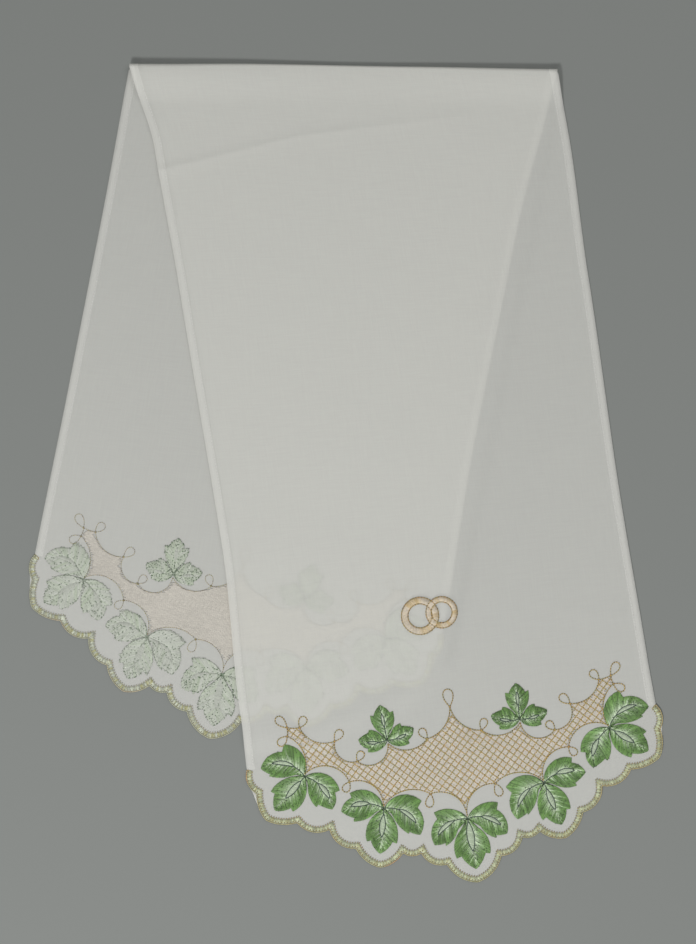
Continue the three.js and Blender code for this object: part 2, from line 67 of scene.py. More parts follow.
# The folded strip. Each layer leans from straight down, its middle line is shifted from the
# middle of the fold, and its long edges lie as the table says at shares of the way down.
FOLD = {"x": -2.58, "y": 397.84, "length": 418.4, "tilt": -0.67}
FRONT = {
    "lean": 9.1,
    "shift": 3.7,
    "corner": 664.5,
    "down": (0.12, 0.32, 0.68, 0.93, 1),
    "left": (-199, -196.6, -195.2, -203.6, -206),
    "right": (203.8, 200.8, 197.6, 198.8, 199.6),
}
BACK = {
    "lean": -11,
    "shift": -3.2,
    "corner": 526,
    "down": (0.3, 0.65, 1),
    "left": (-201.2, -201.4, -202.6),
    "right": (200.6, 199.4, 204.6),
}

# How the front layer lies over the back one: it stays up as far as this clear of the back
# one's end, falls to the table over a stretch, and is lifted where embroidery lies under it
CAD_THICKNESS = 1
LAYER_GAP = 1
DRAPE = {"clear": 3, "fall": 16, "lift": 0.8, "lift_from": 420, "lift_to": 480}

# The fold's open loop: its height at shares of its length, and how far it takes to come down
LOOP_HEIGHTS = ((0, 0.5, 1), (9, 5.5, 8))
LOOP_LENGTH = 34

# The fold bows out from its straight line, at shares of its length, and the bow fades inwards
FOLD_BOW = ((0, 0.3, 0.65, 1), (0.8, 2.4, 1.5, 0.5))
BOW_FADE = 60

# The back layer's end as a blunt point: a place on each side, and how far the side is turned
BACK_SHAPE = {"across": (204.6, 186, 98, 0), "up": (122, 88, 28, 0), "turn": (0, 33, 55, 74)}

# Fine creases of the front layer: from, to, rise at both ends, and reach above and below
CREASES = (
    {"start": (-188, 296), "end": (-45, 331), "rise": (1.4, 1.1), "reach": (4, 8)},
    {"start": (-45, 331), "end": (118, 351), "rise": (1.1, 0.4), "reach": (4, 8)},
    {"start": (215, -135), "end": (284, -137), "rise": (0.5, 0.5), "reach": (5, 5)},
)

# Waves of the cloth's slight unevenness: length, direction in degrees and share of the height.
# A wave this many times as long shifts each of them to and fro by so many radians.
WAVES = ((210, 20, 0.3), (145, 95, 0.25), (98, 150, 0.2), (71, 60, 0.15), (47, 118, 0.1))
WAVE_SHIFT = {"times": 2.7, "by": 0.8}
UNEVENNESS = 0.45

# The turned hem: its width, and how far the grid's columns lie from its inner edge
HEM_WIDTH = 8
HEM_EDGE = 0.3

# An end's height from its tip to its corners, the satin edging's width, and the right half's
# scallops from the corner to the tip: where each ends, how far it swells and its arc's steps
END_HEIGHT = 144.5
EDGING_WIDTH = 6
SCALLOPS = (
    {"spot": (200.2, 120), "swell": 4.5, "steps": 8},
    {"spot": (195.8, 93), "swell": 2.4, "steps": 7},
    {"spot": (165.5, 85.5), "swell": 3.1, "steps": 7},
    {"spot": (135.2, 74), "swell": 6, "steps": 8},
    {"spot": (112.7, 51.5), "swell": 6, "steps": 8},
    {"spot": (92, 29.2), "swell": 3.4, "steps": 7},
    {"spot": (67.8, 39.8), "swell": 2.9, "steps": 7},
    {"spot": (50, 36.8), "swell": 3, "steps": 4},
    {"spot": (27, 22), "swell": 5, "steps": 8},
    {"spot": (0, 0), "swell": 4.6, "steps": 9},
)

# Three-lobed leaves, in polar terms from the point where the lobes meet: a turn in degrees
# from the middle lobe's tip, and a reach. A lobe has two side teeth and a tip. The swell of
# the side below a tooth and of the crown above it is a share of its length, and so is the bow
# of the lobe's vein. A pale pod lies on the vein: where along it it starts and ends, and its
# half width.
LOBES = {
    "tip": (
        {"first": (-109, 33.8), "tip": (-60, 41.5), "last": (-47, 34.2), "bow": 0.19},
        {"first": (-24.2, 40.8), "tip": (0.6, 50.3), "last": (24.2, 40.8), "bow": 0},
        {"first": (47, 34.2), "tip": (60, 41.5), "last": (109, 33.8), "bow": -0.19},
    ),
    "shoulder": (
        {"first": (-112, 36.8), "tip": (-83.5, 42), "last": (-64.5, 32.3), "bow": 0.155},
        {"first": (-25.5, 36.5), "tip": (-2.6, 44.6), "last": (22.6, 36.7), "bow": 0},
        {"first": (46.5, 35), "tip": (56, 44), "last": (103.7, 37.8), "bow": -0.215},
    ),
    "small": (
        {"first": (-110, 22.3), "tip": (-77, 28.4), "last": (-49, 20.8), "bow": 0.1},
        {"first": (-23, 29.4), "tip": (0, 35.3), "last": (23, 29.4), "bow": 0},
        {"first": (49, 20.8), "tip": (77, 28.4), "last": (110, 22.3), "bow": -0.1},
    ),
}
SWELLS = {
    "tip": (
        {"first": (0.17, 0.18), "last": (0.12, 0.06)},
        {"first": (0.155, 0.085), "last": (0.155, 0.085)},
        {"first": (0.12, 0.06), "last": (0.17, 0.18)},
    ),
    "shoulder": (
        {"first": (0.26, 0.15), "last": (0.13, 0.05)},
        {"first": (0.17, 0.1), "last": (0.13, 0.1)},
        {"first": (0.1, 0.05), "last": (0.25, 0.18)},
    ),
    "small": (
        {"first": (0.17, 0.14), "last": (0.12, 0.06)},
        {"first": (0.13, 0.09), "last": (0.13, 0.09)},
        {"first": (0.12, 0.06), "last": (0.17, 0.14)},
    ),
}
PODS = {
    "tip": ((0.29, 0.77, 2.1), (0.06, 0.65, 3.6), (0.29, 0.77, 2.1)),
    "shoulder": ((0.33, 0.75, 2.4), (0.13, 0.64, 2.8), (0.29, 0.75, 2)),
    "small": ((0.3, 0.68, 1.4), (0.36, 0.76, 1.5), (0.3, 0.68, 1.4)),
}

# The slits between lobes start in a round drop: its turn, reach and half width
SLITS = {
    "tip": ((-44.7, 14.8, 1.5), (44.7, 14.8, 1.5)),
    "shoulder": ((-61.4, 7.8, 1.2), (53.5, 9.2, 1.3)),
    "small": ((-34, 8.8, 0.9), (34, 8.8, 0.9)),
}

# The notch beside a side tooth: its share of the way to the tip, and how far it is pulled in
TOOTH = {"share": 0.2, "pull": 0.9}

# A leaf's two outer rims start this far from the junction, turned by so much from their teeth
STEM = {"reach": 2.5, "turn": 40}

# Where the leaves of a half lie: where their lobes meet, and the middle lobe's turn from down
LEAF_PAIRS = (
    {"name": "corner_leaf", "kind": "shoulder", "spot": (151, 129), "turn": 53, "mirror": 1},
    {"name": "side_leaf", "kind": "shoulder", "spot": (79.4, 85.8), "turn": 11.3, "mirror": -1},
    {"name": "small_leaf", "kind": "small", "spot": (65.7, 151.4), "turn": 177, "mirror": 1},
)
TIP_LEAF = {"name": "tip_leaf", "kind": "tip", "spot": (0, 63.2), "turn": 0, "mirror": 1, "side": 1}
LEAVES = (
    TIP_LEAF,
    *({**pair, "name": f"left_{pair['name']}", "side": -1} for pair in LEAF_PAIRS),
    *({**pair, "name": f"right_{pair['name']}", "side": 1} for pair in LEAF_PAIRS),
)
RINGS = (
    {"spot": (-14.7, 266.7), "outer": 18.3, "inner": 11.8},
    {"spot": (6.7, 266.8), "outer": 15.4, "inner": 10.2},
)

# The lattice field's right half, from the top of its middle round to the tip leaf: each arc
# ends at a spot and bends into the field by its sag
FIELD_START = (0, 174)
FIELD = (
    {"end": (27, 146.4), "sag": 6.9},
    {"end": (65.7, 148), "sag": 8.7},
    {"end": (98, 135.4), "sag": 11.9},
    {"end": (116.7, 158.4), "sag": 8.5},
    {"end": (148.5, 177.1), "sag": 7.4},
    {"end": (160.6, 179.1), "sag": 0.5},
    {"end": (161.7, 170.8), "sag": 0.5},
    {"end": (151, 131), "sag": 8},
    {"end": (108.7, 116.8), "sag": 12},
    {"end": (79.4, 88), "sag": 10.6},
    {"end": (32.1, 92.8), "sag": 9.6},
    {"end": (0, 65.5), "sag": 10.5},
)

# Thread loops round the field: where the loop's two threads cross, its middle and half width
LOOPS = (
    {"neck": (160.6, 179.1), "middle": (167, 187.5), "half": 4.2},
    {"neck": (148.5, 177.1), "middle": (144, 183.7), "half": 4},
    {"neck": (161.7, 170.8), "middle": (168.4, 165.8), "half": 4},
    {"neck": (116.7, 158.4), "middle": (111.1, 165.1), "half": 4.2},
    {"neck": (98, 135.4), "middle": (93.7, 141.3), "half": 3.8},
    {"neck": (27, 146.4), "middle": (30.5, 153.7), "half": 3.8},
    {"neck": (108.7, 116.8), "middle": (112.9, 111.1), "half": 3.8},
    {"neck": (32.1, 92.8), "middle": (34.5, 83.7), "half": 4},
)
AXIS_LOOP = {"neck": (0, 174), "middle": (0, 186.5), "half": 5}


def linear(colour):
    """An sRGB hex colour as linear red, green and blue: (c / 12.92) below 0.04045, and above
    it ((c + 0.055) / 1.055) to the power 2.4."""
    parts = np.array([int(colour[i : i + 2], 16) / 255 for i in (1, 3, 5)])
    return tuple(np.where(parts <= 0.04045, parts / 12.92, ((parts + 0.055) / 1.055) ** 2.4))


def size_property(name, description, millimetres):
    return bpy.props.FloatProperty(
        name=name, description=description, default=millimetres * MM, unit="LENGTH"
    )


class TowelSizes(bpy.types.PropertyGroup):
    """Sizes that a user would change"""

    thickness: size_property("Cloth", "Thickness of the sheer cloth", 0.5)
    hem_rise: size_property("Hem", "Extra thickness of the turned hem", 0.15)
    thread: size_property("Thread", "Space between satin stitches", 0.7)
    running: size_property("Running stitch", "Length of one running stitch", 2.2)
    lattice: size_property("Lattice", "Space between lattice lines", 5.5)


def colour_property(name, description, colour):
    return bpy.props.FloatVectorProperty(
        name=name,
        description=description,
        default=linear(colour),
        subtype="COLOR",
        size=3,
        min=0,
        max=1,
    )


class TowelColours(bpy.types.PropertyGroup):
    """Colours that a user would change"""

    cloth: colour_property("Cloth", "Bleached white yarn", "#eeeee8")
    sewing: colour_property("Sewing thread", "White thread of the hems", "#dededa")
    pale: colour_property("Leaf, pale", "Mint thread beside the veins", "#bccbb0")
    light: colour_property("Leaf, light", "Light green thread", "#82a562")
    green: colour_property("Leaf, green", "Green thread of the lobes", "#658a48")
    deep: colour_property("Leaf, deep", "Deep green thread of the rims", "#547a38")
    vein: colour_property("Veins", "Slate green thread of the veins", "#3f5348")
    gold: colour_property("Gold", "Ochre thread of the lattice", "#c6a75a")
    olive: colour_property("Olive", "Olive thread in the lattice", "#aca262")
    orange: colour_property("Orange", "Orange thread of the knots", "#cf8a3a")
    brown: colour_property("Brown", "Brown where the stitches meet", "#806a42")
    edging: colour_property("Edging", "Pale satin of the scallops", "#bcc2a2")
    peach: colour_property("Lattice ground", "Pale thread under the lattice", "#ccc5ba")
    bobbin: colour_property("Bobbin thread", "Pale thread of the wrong side", "#c0c4b9")
    floor: colour_property("Floor", "Grey board", "#848784")


def settings():
    """The user's sizes in millimetres and colours as arrays"""
    scene = bpy.context.scene
    sizes = {name: getattr(scene.towel_sizes, name) / MM for name in TowelSizes.__annotations__}
    names = TowelColours.__annotations__
    colours = {name: np.array(getattr(scene.towel_colours, name)) for name in names}
    return sizes, colours


def smooth(share):
    """Eases from 0 to 1 by 3s² - 2s³, held at both ends."""
    held = np.clip(share, 0, 1)
    return held * held * (3 - 2 * held)


def eased(value, stops, levels):
    """Reads a table of levels at stops, easing from stop to stop."""
    stops, levels, value = (np.asarray(part, float) for part in (stops, levels, value))
    place = np.clip(np.searchsorted(stops, value) - 1, 0, len(stops) - 2)
    share = (value - stops[place]) / (stops[place + 1] - stops[place])
    return levels[place] + (levels[place + 1] - levels[place]) * smooth(share)


def on_table(layer, across, along):
    """Turns a place of the strip by the layer's lean about the middle of the fold."""
    lean = math.radians(layer["lean"])
    sideways = layer["shift"] + across
    x = FOLD["x"] + sideways * math.cos(lean) + along * math.sin(lean)
    y = FOLD["y"] + sideways * math.sin(lean) - along * math.cos(lean)
    return x, y


def on_strip(layer, x, y):
    """The other way round: how far across and along a layer a place on the table lies."""
    lean = math.radians(layer["lean"])
    east = x - FOLD["x"]
    north = y - FOLD["y"]
    across = east * math.cos(lean) + north * math.sin(lean) - layer["shift"]
    along = east * math.sin(lean) - north * math.cos(lean)
    return across, along


def long_edge(layer, side, down):
    """Distance of a long edge from the middle line, from the ends of the fold downwards."""
    turn = math.radians(layer["lean"] - FOLD["tilt"])
    reach = FOLD["length"] / 2 * math.cos(turn)
    at_fold = (-reach if side == "left" else reach) - layer["shift"]
    return eased(down, (0, *layer["down"]), (at_fold, *layer[side]))


def strip_spot(layer, share, down):
    """A place by its share across and its share down. The first row runs along the fold line,
    which is slanted in the strip, the last one square across, and the rest in between."""
    slant = math.tan(math.radians(layer["lean"] - FOLD["tilt"]))
    left, right = long_edge(layer, "left", 0), long_edge(layer, "right", 0)
    at_fold = (layer["shift"] + left + (right - left) * share) * slant
    left, right = long_edge(layer, "left", down), long_edge(layer, "right", down)
    along = at_fold + (layer["corner"] - at_fold) * down
    return on_table(layer, left + (right - left) * share, along)


def unevenness(x, y):
    """Slight waves of cloth that was pressed flat: a sum of sines of a few lengths and
    directions, lifted so that it is never below zero. Each starts at an angle of its own, of
    as many radians as its direction has degrees."""
    total = np.zeros_like(x, float)
    for length, direction, part in WAVES:
        turn = math.radians(direction)
        phase = 2 * math.pi * (x * math.cos(turn) + y * math.sin(turn)) / length
        shift = WAVE_SHIFT["by"] * np.sin(phase / WAVE_SHIFT["times"])
        total = total + part * np.sin(phase + direction + shift)
    return UNEVENNESS * (0.5 + 0.5 * total)


def outside_back(x, y):
    """Distance outside the back layer's blunt end: the largest of the distances from its sides."""
    across, along = on_strip(BACK, x, y)
    tip = BACK["corner"] + END_HEIGHT
    distances = []
    for side, up, turn in zip(*BACK_SHAPE.values()):
        turn = math.radians(turn)
        out = (np.abs(across) - side) * math.cos(turn)
        distances.append(out + (along - (tip - up)) * math.sin(turn))
    return np.max(distances, axis=0)


def ridge(crease, x, y):
    """A ridge with a sharp crest: the height is the rise times e to the power -d / reach for
    the distance d above or below it, and fades out past its two ends."""
    (x0, y0), (x1, y1) = crease["start"], crease["end"]
    length = math.hypot(x1 - x0, y1 - y0)
    along = ((x - x0) * (x1 - x0) + (y - y0) * (y1 - y0)) / length
    aside = ((y - y0) * (x1 - x0) - (x - x0) * (y1 - y0)) / length
    past = np.maximum(0, np.maximum(-along, along - length))
    rise = crease["rise"][0] + (crease["rise"][1] - crease["rise"][0]) * smooth(along / length)
    above, below = crease["reach"]
    away = np.abs(aside) / np.where(aside > 0, above, below)
    return rise * np.exp(-away - (past / below) ** 2)


def resting_height(layer, x, y):
    """Height of a layer's middle surface: the back layer lies on the table, and the front one
    on the back layer or, past its edges, on the table."""
    ground = CAD_THICKNESS / 2 + unevenness(x, y)
    if layer is BACK:
        return ground
    along = on_strip(BACK, x, y)[1]
    raised = (along - DRAPE["lift_from"]) / (DRAPE["lift_to"] - DRAPE["lift_from"])
    lift = DRAPE["lift"] * smooth(raised)
    over = 1 - smooth((outside_back(x, y) - DRAPE["clear"]) / DRAPE["fall"])
    creased = np.max([ridge(crease, x, y) for crease in CREASES], axis=0)
    return ground + (CAD_THICKNESS + LAYER_GAP + lift) * over + creased


def loop_radius(share):
    return (eased(share, *LOOP_HEIGHTS) - CAD_THICKNESS) / 2


def layer_point(layer, share, down):
    """Middle surface of a layer. The front one comes down from the top of the fold's loop."""
    x, y = strip_spot(layer, share, down)
    y = y + eased(share, *FOLD_BOW) * (1 - smooth(layer["corner"] * down / BOW_FADE))
    rest = resting_height(layer, x, y)
    if layer is BACK:
        return np.stack([x, y, rest], -1)
    radius = loop_radius(share)
    tilt = math.radians(FOLD["tilt"])
    from_fold = (x - FOLD["x"]) * math.sin(tilt) - (y - FOLD["y"]) * math.cos(tilt)
    top = np.maximum(CAD_THICKNESS / 2 + 2 * radius, rest)
    past = smooth((from_fold - radius - CAD_THICKNESS / 2) / LOOP_LENGTH)
    return np.stack([x, y, top + (rest - top) * past], -1)


def nose_point(share, turn):
    """The round nose of the fold: a half circle that stands on the back layer."""
    tilt = math.radians(FOLD["tilt"])
    radius = loop_radius(share)
    inward = CAD_THICKNESS / 2 + radius * (1 - np.cos(turn))
    along = (share - 0.5) * FOLD["length"]
    x = FOLD["x"] + along * math.cos(tilt) + inward * math.sin(tilt)
    y = FOLD["y"] + along * math.sin(tilt) - inward * math.cos(tilt) + eased(share, *FOLD_BOW)
    return np.stack([x, y, CAD_THICKNESS / 2 + radius * (1 + np.sin(turn))], -1)


def arc(start, end, swell, steps):
    """Points of the circular arc between two places that swells to the left of the way it
    runs, and its centre. Its radius is (h² + s²) / 2s for half chord h and swell s."""
    start, end = np.asarray(start, float), np.asarray(end, float)
    run = end - start
    half = math.hypot(*run) / 2
    radius = (half * half + swell * swell) / (2 * swell)
    middle = math.atan2(run[1], run[0]) + math.pi / 2
    centre = (start + end) / 2 + (swell - radius) * np.array([math.cos(middle), math.sin(middle)])
    spread = 2 * math.asin(min(1, half / abs(radius))) * (1 if radius > 0 else -1)
    sweep = math.pi - spread / 2 if abs(swell) > half else spread / 2
    turns = middle + np.linspace(sweep, -sweep, steps + 1)
    return centre + radius * np.stack([np.cos(turns), np.sin(turns)], -1), centre


def scallops(layer):
    """The scallops from a layer's left corner to its right one, as arcs with their centres."""
    right = [(layer["right"][-1], END_HEIGHT), *(row["spot"] for row in SCALLOPS)]
    left = [(layer["left"][-1], END_HEIGHT), *(np.array(spot) * MIRROR for spot in right[1:])]
    down, up = [], []
    for i, row in enumerate(SCALLOPS):
        down.append(arc(left[i], left[i + 1], -row["swell"], row["steps"]))
        up.append(arc(right[i + 1], right[i], -row["swell"], row["steps"]))
    return [*down, *up[::-1]]


def read(table, stops, wanted):
    """Reads a table's columns at wanted places, by straight lines from stop to stop."""
    return np.stack([np.interp(wanted, stops, column) for column in table.T], -1)


def step_lengths(points):
    return np.linalg.norm(np.diff(points, axis=0), axis=1)


def reached(points):
    """How far along a path each of its points is."""
    return np.concatenate([[0], np.cumsum(step_lengths(points))])


def resample(points, count):
    """A path's points again, at even steps of its length."""
    along = reached(points)
    return read(points, along, np.linspace(0, along[-1], count))


def mesh_object(name, vertices, faces, material):
    """A mesh object at the origin, from millimetres and one array of faces."""
    mesh = bpy.data.meshes.new(name)
    mesh.from_pydata((vertices * MM).tolist(), [], faces.tolist())
    mesh.polygons.foreach_set("use_smooth", np.ones(len(faces), bool))
    mesh.materials.append(material)
    piece = bpy.data.objects.new(name, mesh)
    bpy.context.scene.collection.objects.link(piece)
    return piece


def set_inputs(tree, node, inputs):
    """Links an input to its socket, or sets it to its value."""
    for name, value in inputs.items():
        if isinstance(value, bpy.types.NodeSocket):
            tree.links.new(value, node.inputs[name])
        else:
            node.inputs[name].default_value = value


def add_node(tree, kind, inputs, **options):
    """A node with its options, and its inputs as values or linked sockets."""
    node = tree.nodes.new(kind)
    for option, value in options.items():
        setattr(node, option, value)
    set_inputs(tree, node, inputs)
    return node


def new_material(name):
    material = bpy.data.materials.new(name)
    material.use_nodes = True
    tree = material.node_tree
    return material, tree, tree.nodes["Principled BSDF"]


# Sheer plain-woven cotton, bleached: matt, with yarns that are a little thick and thin, and
# light passes between them. One surface of the thin sheet hides this share of what is behind,
# and one of the doubled hem a little more.
SHEET_COVER = 0.38
HEM_COVER = 0.49
YARN_PITCH = 0.7  # the real yarns are about 0.4 mm apart, too fine to show

# A yarn's thick places: their length, how much they change the tone and the cover, what the
# noise of two crossing yarns mostly adds up to, and how far apart yarns read the noise
SLUB_LENGTH = 35
SLUB_TONE = 0.012
SLUB_COVER = 0.007
SLUB_RANGE = (0.7, 1.3)
SLUB_ROWS = 90
WEAVE_RELIEF = {"Strength": 0.06, "Distance": 0.05 * MM}
FIBRE_IOR = 1.5


def yarn_slubs(tree, across, along):
    """How thick a yarn is at a place, from 0 to 1: noise along the yarn, and each yarn reads
    its own row of it. With it comes the place across, counted in yarns."""
    count = add_node(tree, "ShaderNodeMath", {0: across, 1: YARN_PITCH * MM}, operation="DIVIDE")
    yarn = add_node(tree, "ShaderNodeMath", {0: count.outputs[0]}, operation="FLOOR")
    own = add_node(
        tree, "ShaderNodeTexWhiteNoise", {"W": yarn.outputs[0]}, noise_dimensions="1D"
    )
    row = add_node(
        tree, "ShaderNodeMath", {0: own.outputs["Value"], 1: SLUB_ROWS}, operation="MULTIPLY"
    )
    place = add_node(
        tree,
        "ShaderNodeMath",
        {0: along, 1: 1 / (SLUB_LENGTH * MM), 2: row.outputs[0]},
        operation="MULTIPLY_ADD",
    )
    noise = add_node(
        tree,
        "ShaderNodeTexNoise",
        {"W": place.outputs[0], "Scale": 1, "Detail": 2},
        noise_dimensions="1D",
    )
    return noise.outputs["Fac"], count.outputs[0]


def cloth_material(colour):
    material, tree, shader = new_material("bleached_sheer_cotton")
    hem = add_node(tree, "ShaderNodeAttribute", {}, attribute_name="hem")
    uv = add_node(tree, "ShaderNodeUVMap", {}, uv_map="strip")
    split = add_node(tree, "ShaderNodeSeparateXYZ", {"Vector": uv.outputs["UV"]})
    warp, warp_count = yarn_slubs(tree, split.outputs["X"], split.outputs["Y"])
    weft, weft_count = yarn_slubs(tree, split.outputs["Y"], split.outputs["X"])
    both = add_node(tree, "ShaderNodeMath", {0: warp, 1: weft}, operation="ADD").outputs[0]
    levels = []
    for low, high in (
        (1 - SLUB_TONE, 1),
        (SHEET_COVER - SLUB_COVER, SHEET_COVER + SLUB_COVER),
    ):
        least, most = SLUB_RANGE
        span = {"From Min": least, "From Max": most, "To Min": low, "To Max": high}
        level = add_node(tree, "ShaderNodeMapRange", {"Value": both, **span})
        levels.append(level.outputs["Result"])
    tone, sheer = levels
    waves = []
    for yarns in (warp_count, weft_count):
        turn = add_node(tree, "ShaderNodeMath", {0: yarns, 1: math.pi}, operation="MULTIPLY")
        wave = add_node(tree, "ShaderNodeMath", {0: turn.outputs[0]}, operation="SINE")
        waves.append(wave.outputs[0])
    weave = add_node(tree, "ShaderNodeMath", {0: waves[0], 1: waves[1]}, operation="MULTIPLY")
    relief = add_node(tree, "ShaderNodeMath", {0: both, 1: weave.outputs[0]}, operation="ADD")
    bump = add_node(tree, "ShaderNodeBump", {"Height": relief.outputs[0], **WEAVE_RELIEF})
    paint = add_node(
        tree, "ShaderNodeVectorMath", {0: tuple(colour), "Scale": tone}, operation="SCALE"
    )
    cover = add_node(
        tree, "ShaderNodeMix", {"Factor": hem.outputs["Fac"], "A": sheer, "B": HEM_COVER}
    )
    looks = {
        "Base Color": paint.outputs["Vector"],
        "Alpha": cover.outputs["Result"],
        "Normal": bump.outputs["Normal"],
        "Roughness": 0.85,
        "Sheen Weight": 0.05,
        "IOR": FIBRE_IOR,
    }
    set_inputs(tree, shader, looks)
    return material


# Rayon embroidery thread, spun smooth and laid in satin stitch: a soft silky gloss. Each
# stitch's colour is its own. A fine noise along it bumps the thread for the twisted yarn, and
# makes its colour lighter and darker: painted sheen and shade where the twisted yarn lies in
# and out of the light.
TWISTS_PER_MM = 1.1
TWIST_SHEEN_RANGE = (0.3, 0.7)
TWIST_RELIEF = {"Strength": 0.3, "Distance": 0.05 * MM}


def thread_material(name, roughness, gloss, painted_sheen=0.18):
    material, tree, shader = new_material(name)
    colour = add_node(tree, "ShaderNodeAttribute", {}, attribute_name="thread")
    place = add_node(tree, "ShaderNodeTexCoord", {})
    twist_and_sheen = add_node(
        tree,
        "ShaderNodeTexNoise",
        {"Vector": place.outputs["Object"], "Scale": TWISTS_PER_MM / MM, "Detail": 2},
    ).outputs["Fac"]
    # The noise lightens and darkens the colour along the thread: painted sheen and shade
    least, most = TWIST_SHEEN_RANGE
    span = {"From Min": least, "From Max": most, "To Min": 1 - painted_sheen, "To Max": 1 + painted_sheen}
    tone = add_node(tree, "ShaderNodeMapRange", {"Value": twist_and_sheen, **span})
    paint = add_node(
        tree,
        "ShaderNodeVectorMath",
        {0: colour.outputs["Color"], "Scale": tone.outputs["Result"]},
        operation="SCALE",
    )
    bump = add_node(tree, "ShaderNodeBump", {"Height": twist_and_sheen, **TWIST_RELIEF})
    looks = {
        "Base Color": paint.outputs["Vector"],
        "Normal": bump.outputs["Normal"],
        "Roughness": roughness,
        "Sheen Weight": gloss,
        "IOR": FIBRE_IOR,
    }
    set_inputs(tree, shader, looks)
    return material


# One stitch is a closed spindle: corner 0 is the point at its start, 1 to 3 and 4 to 6 are
# rings at these shares of its length, and 7 is the point at its end. The points lie at this
# share of the crown's height.
RING_SHARES = (0.06, 0.94)
POINT_HEIGHT = 0.2
RING_SIDES = ((1, 2), (2, 3), (3, 1))
STITCH_FACES = np.array(
    [(0, a, b) for a, b in RING_SIDES]
    + [face for a, b in RING_SIDES for face in ((a, a + 3, b + 3), (a, b + 3, b))]
    + [(7, b + 3, a + 3) for a, b in RING_SIDES]
)


def unit(runs):
    return runs / np.maximum(np.linalg.norm(runs, axis=-1, keepdims=True), TINY)


def spindles(starts, ends, width, rise, start_colours, end_colours):
    """Stitches between places on the cloth. A ring's corners are the two sides, half the width
    to the left and right of the run, and the crown, the rise above it. Colours run evenly
    from end to end."""
    count = len(starts)
    run = unit(ends - starts)
    side = unit(np.stack([-run[:, 1], run[:, 0], np.zeros(count)], -1))
    half = side * np.reshape(np.broadcast_to(width, count), (-1, 1)) / 2
    crown = np.array([0, 0, 1]) * np.reshape(np.broadcast_to(rise, count), (-1, 1))
    rows = [starts + crown * POINT_HEIGHT]
    for share in RING_SHARES:
        middle = starts + (ends - starts) * share
        rows += [middle + half, middle - half, middle + crown]
    rows.append(ends + crown * POINT_HEIGHT)
    shares = np.array([0, *np.repeat(RING_SHARES, 3), 1])[None, :, None]
    start_colours = np.broadcast_to(start_colours, (count, 3))[:, None]
    end_colours = np.broadcast_to(end_colours, (count, 3))[:, None]
    colours = start_colours + (end_colours - start_colours) * shares
    return np.stack(rows, 1), colours


def thread_object(name, batches, material):
    """One mesh of many stitches, with each corner's thread colour as an attribute."""
    stitches = np.concatenate([batch[0] for batch in batches])
    colours = np.concatenate([batch[1] for batch in batches]).reshape(-1, 3)
    corners = stitches.shape[1]
    firsts = np.arange(len(stitches)) * corners
    faces = (STITCH_FACES[None] + firsts[:, None, None]).reshape(-1, 3)
    piece = mesh_object(name, stitches.reshape(-1, 3), faces, material)
    attribute = piece.data.color_attributes.new("thread", "FLOAT_COLOR", "POINT")
    values = np.concatenate([np.clip(colours, 0, 1), np.ones((len(colours), 1))], 1)
    attribute.data.foreach_set("color", values.astype(np.float32).ravel())
    return piece


def on_cloth(layer, spots, lift, sizes):
    """Places across and up an end, put on the upper side of its cloth and lifted off it."""
    x, y = on_table(layer, spots[..., 0], layer["corner"] + END_HEIGHT - spots[..., 1])
    z = resting_height(layer, x, y) + sizes["thickness"] / 2 + lift
    return np.stack([x, y, z], -1)


# How each kind of stitch lies on the cloth: its width, or that as a share of the space between
# satin stitches, its crown's rise and its lift. Running stitches have a length and a gap too.
LOOKS = {
    "leaf satin": {"share": 1.35, "rise": 0.2, "lift": 0.05},
    "leaf speck": {"width": 0.7, "rise": 0.25, "lift": 0.4},
    "leaf pod": {"share": 1.35, "rise": 0.25, "lift": 0.05},
    "leaf line": {"width": 0.95, "rise": 0.3, "lift": 0.3},
    "wrong satin": {"share": 1.4, "rise": 0.1, "lift": 0.02},
    "wrong speck": {"width": 0.95, "rise": 0.25, "lift": 0.12, "stitch": 1.4, "gap": 1.6},
    "wrong pod": {"width": 0.9, "rise": 0.14, "lift": 0},
    "edging bead": {"width": 0.8, "rise": 0.35, "lift": 0.1},
    "wrong bead": {"width": 0.8, "rise": 0.22, "lift": 0.1},
    "edging end": {"width": 0.6, "rise": 0.35, "lift": 0.25, "stitch": 2.2, "gap": 0.3},
    "lattice ground": {"width": 1.2, "rise": 0.03, "lift": 0, "stitch": 4, "gap": 0},
    "lattice line": {"width": 0.55, "rise": 0.25, "lift": 0.1, "gap": 0.3},
    "crossing": {"width": 0.7, "rise": 0.3, "lift": 0.2},
    "arc": {"width": 1, "rise": 0.35, "lift": 0.15, "stitch": 2.2, "gap": 0.3},
    "arc dot": {"width": 1.05, "rise": 0.3, "lift": 0.35, "stitch": 0.8, "gap": 1.8},
    "wrong arc": {"width": 0.6, "rise": 0.35, "lift": 0.15, "stitch": 1.3, "gap": 0.8},
    "knot": {"width": 0.7, "rise": 0.3, "lift": 0.25},
    "ring satin": {"width": 0.9, "rise": 0.25, "lift": 0.1},
    "ring line": {"width": 0.8, "rise": 0.35, "lift": 0.25, "stitch": 1.8, "gap": 0.3},
    "ring dot": {"width": 1.1, "rise": 0.35, "lift": 0.35, "stitch": 0.9, "gap": 2},
}


def lay(layer, starts, ends, look, sizes, tones, end_tones=None, lifts=None):
    """Stitches of one look between places across and up an end, on its cloth. Lifts of the
    two ends can be given apart, and so can a tone for the second one."""
    low, high = lifts or (look["lift"], look["lift"])
    width = look["width"] if "width" in look else look["share"] * sizes["thread"]
    a, b = on_cloth(layer, starts, low, sizes), on_cloth(layer, ends, high, sizes)
    return spindles(a, b, width, look["rise"], tones, tones if end_tones is None else end_tones)


def jittered(colour, count, spread):
    """A colour for each of many stitches, made lighter or darker at random."""
    return np.asarray(colour) * RANDOM.uniform(1 - spread, 1 + spread, (count, 1))


def mixed(first, second, share):
    return first + (second - first) * share


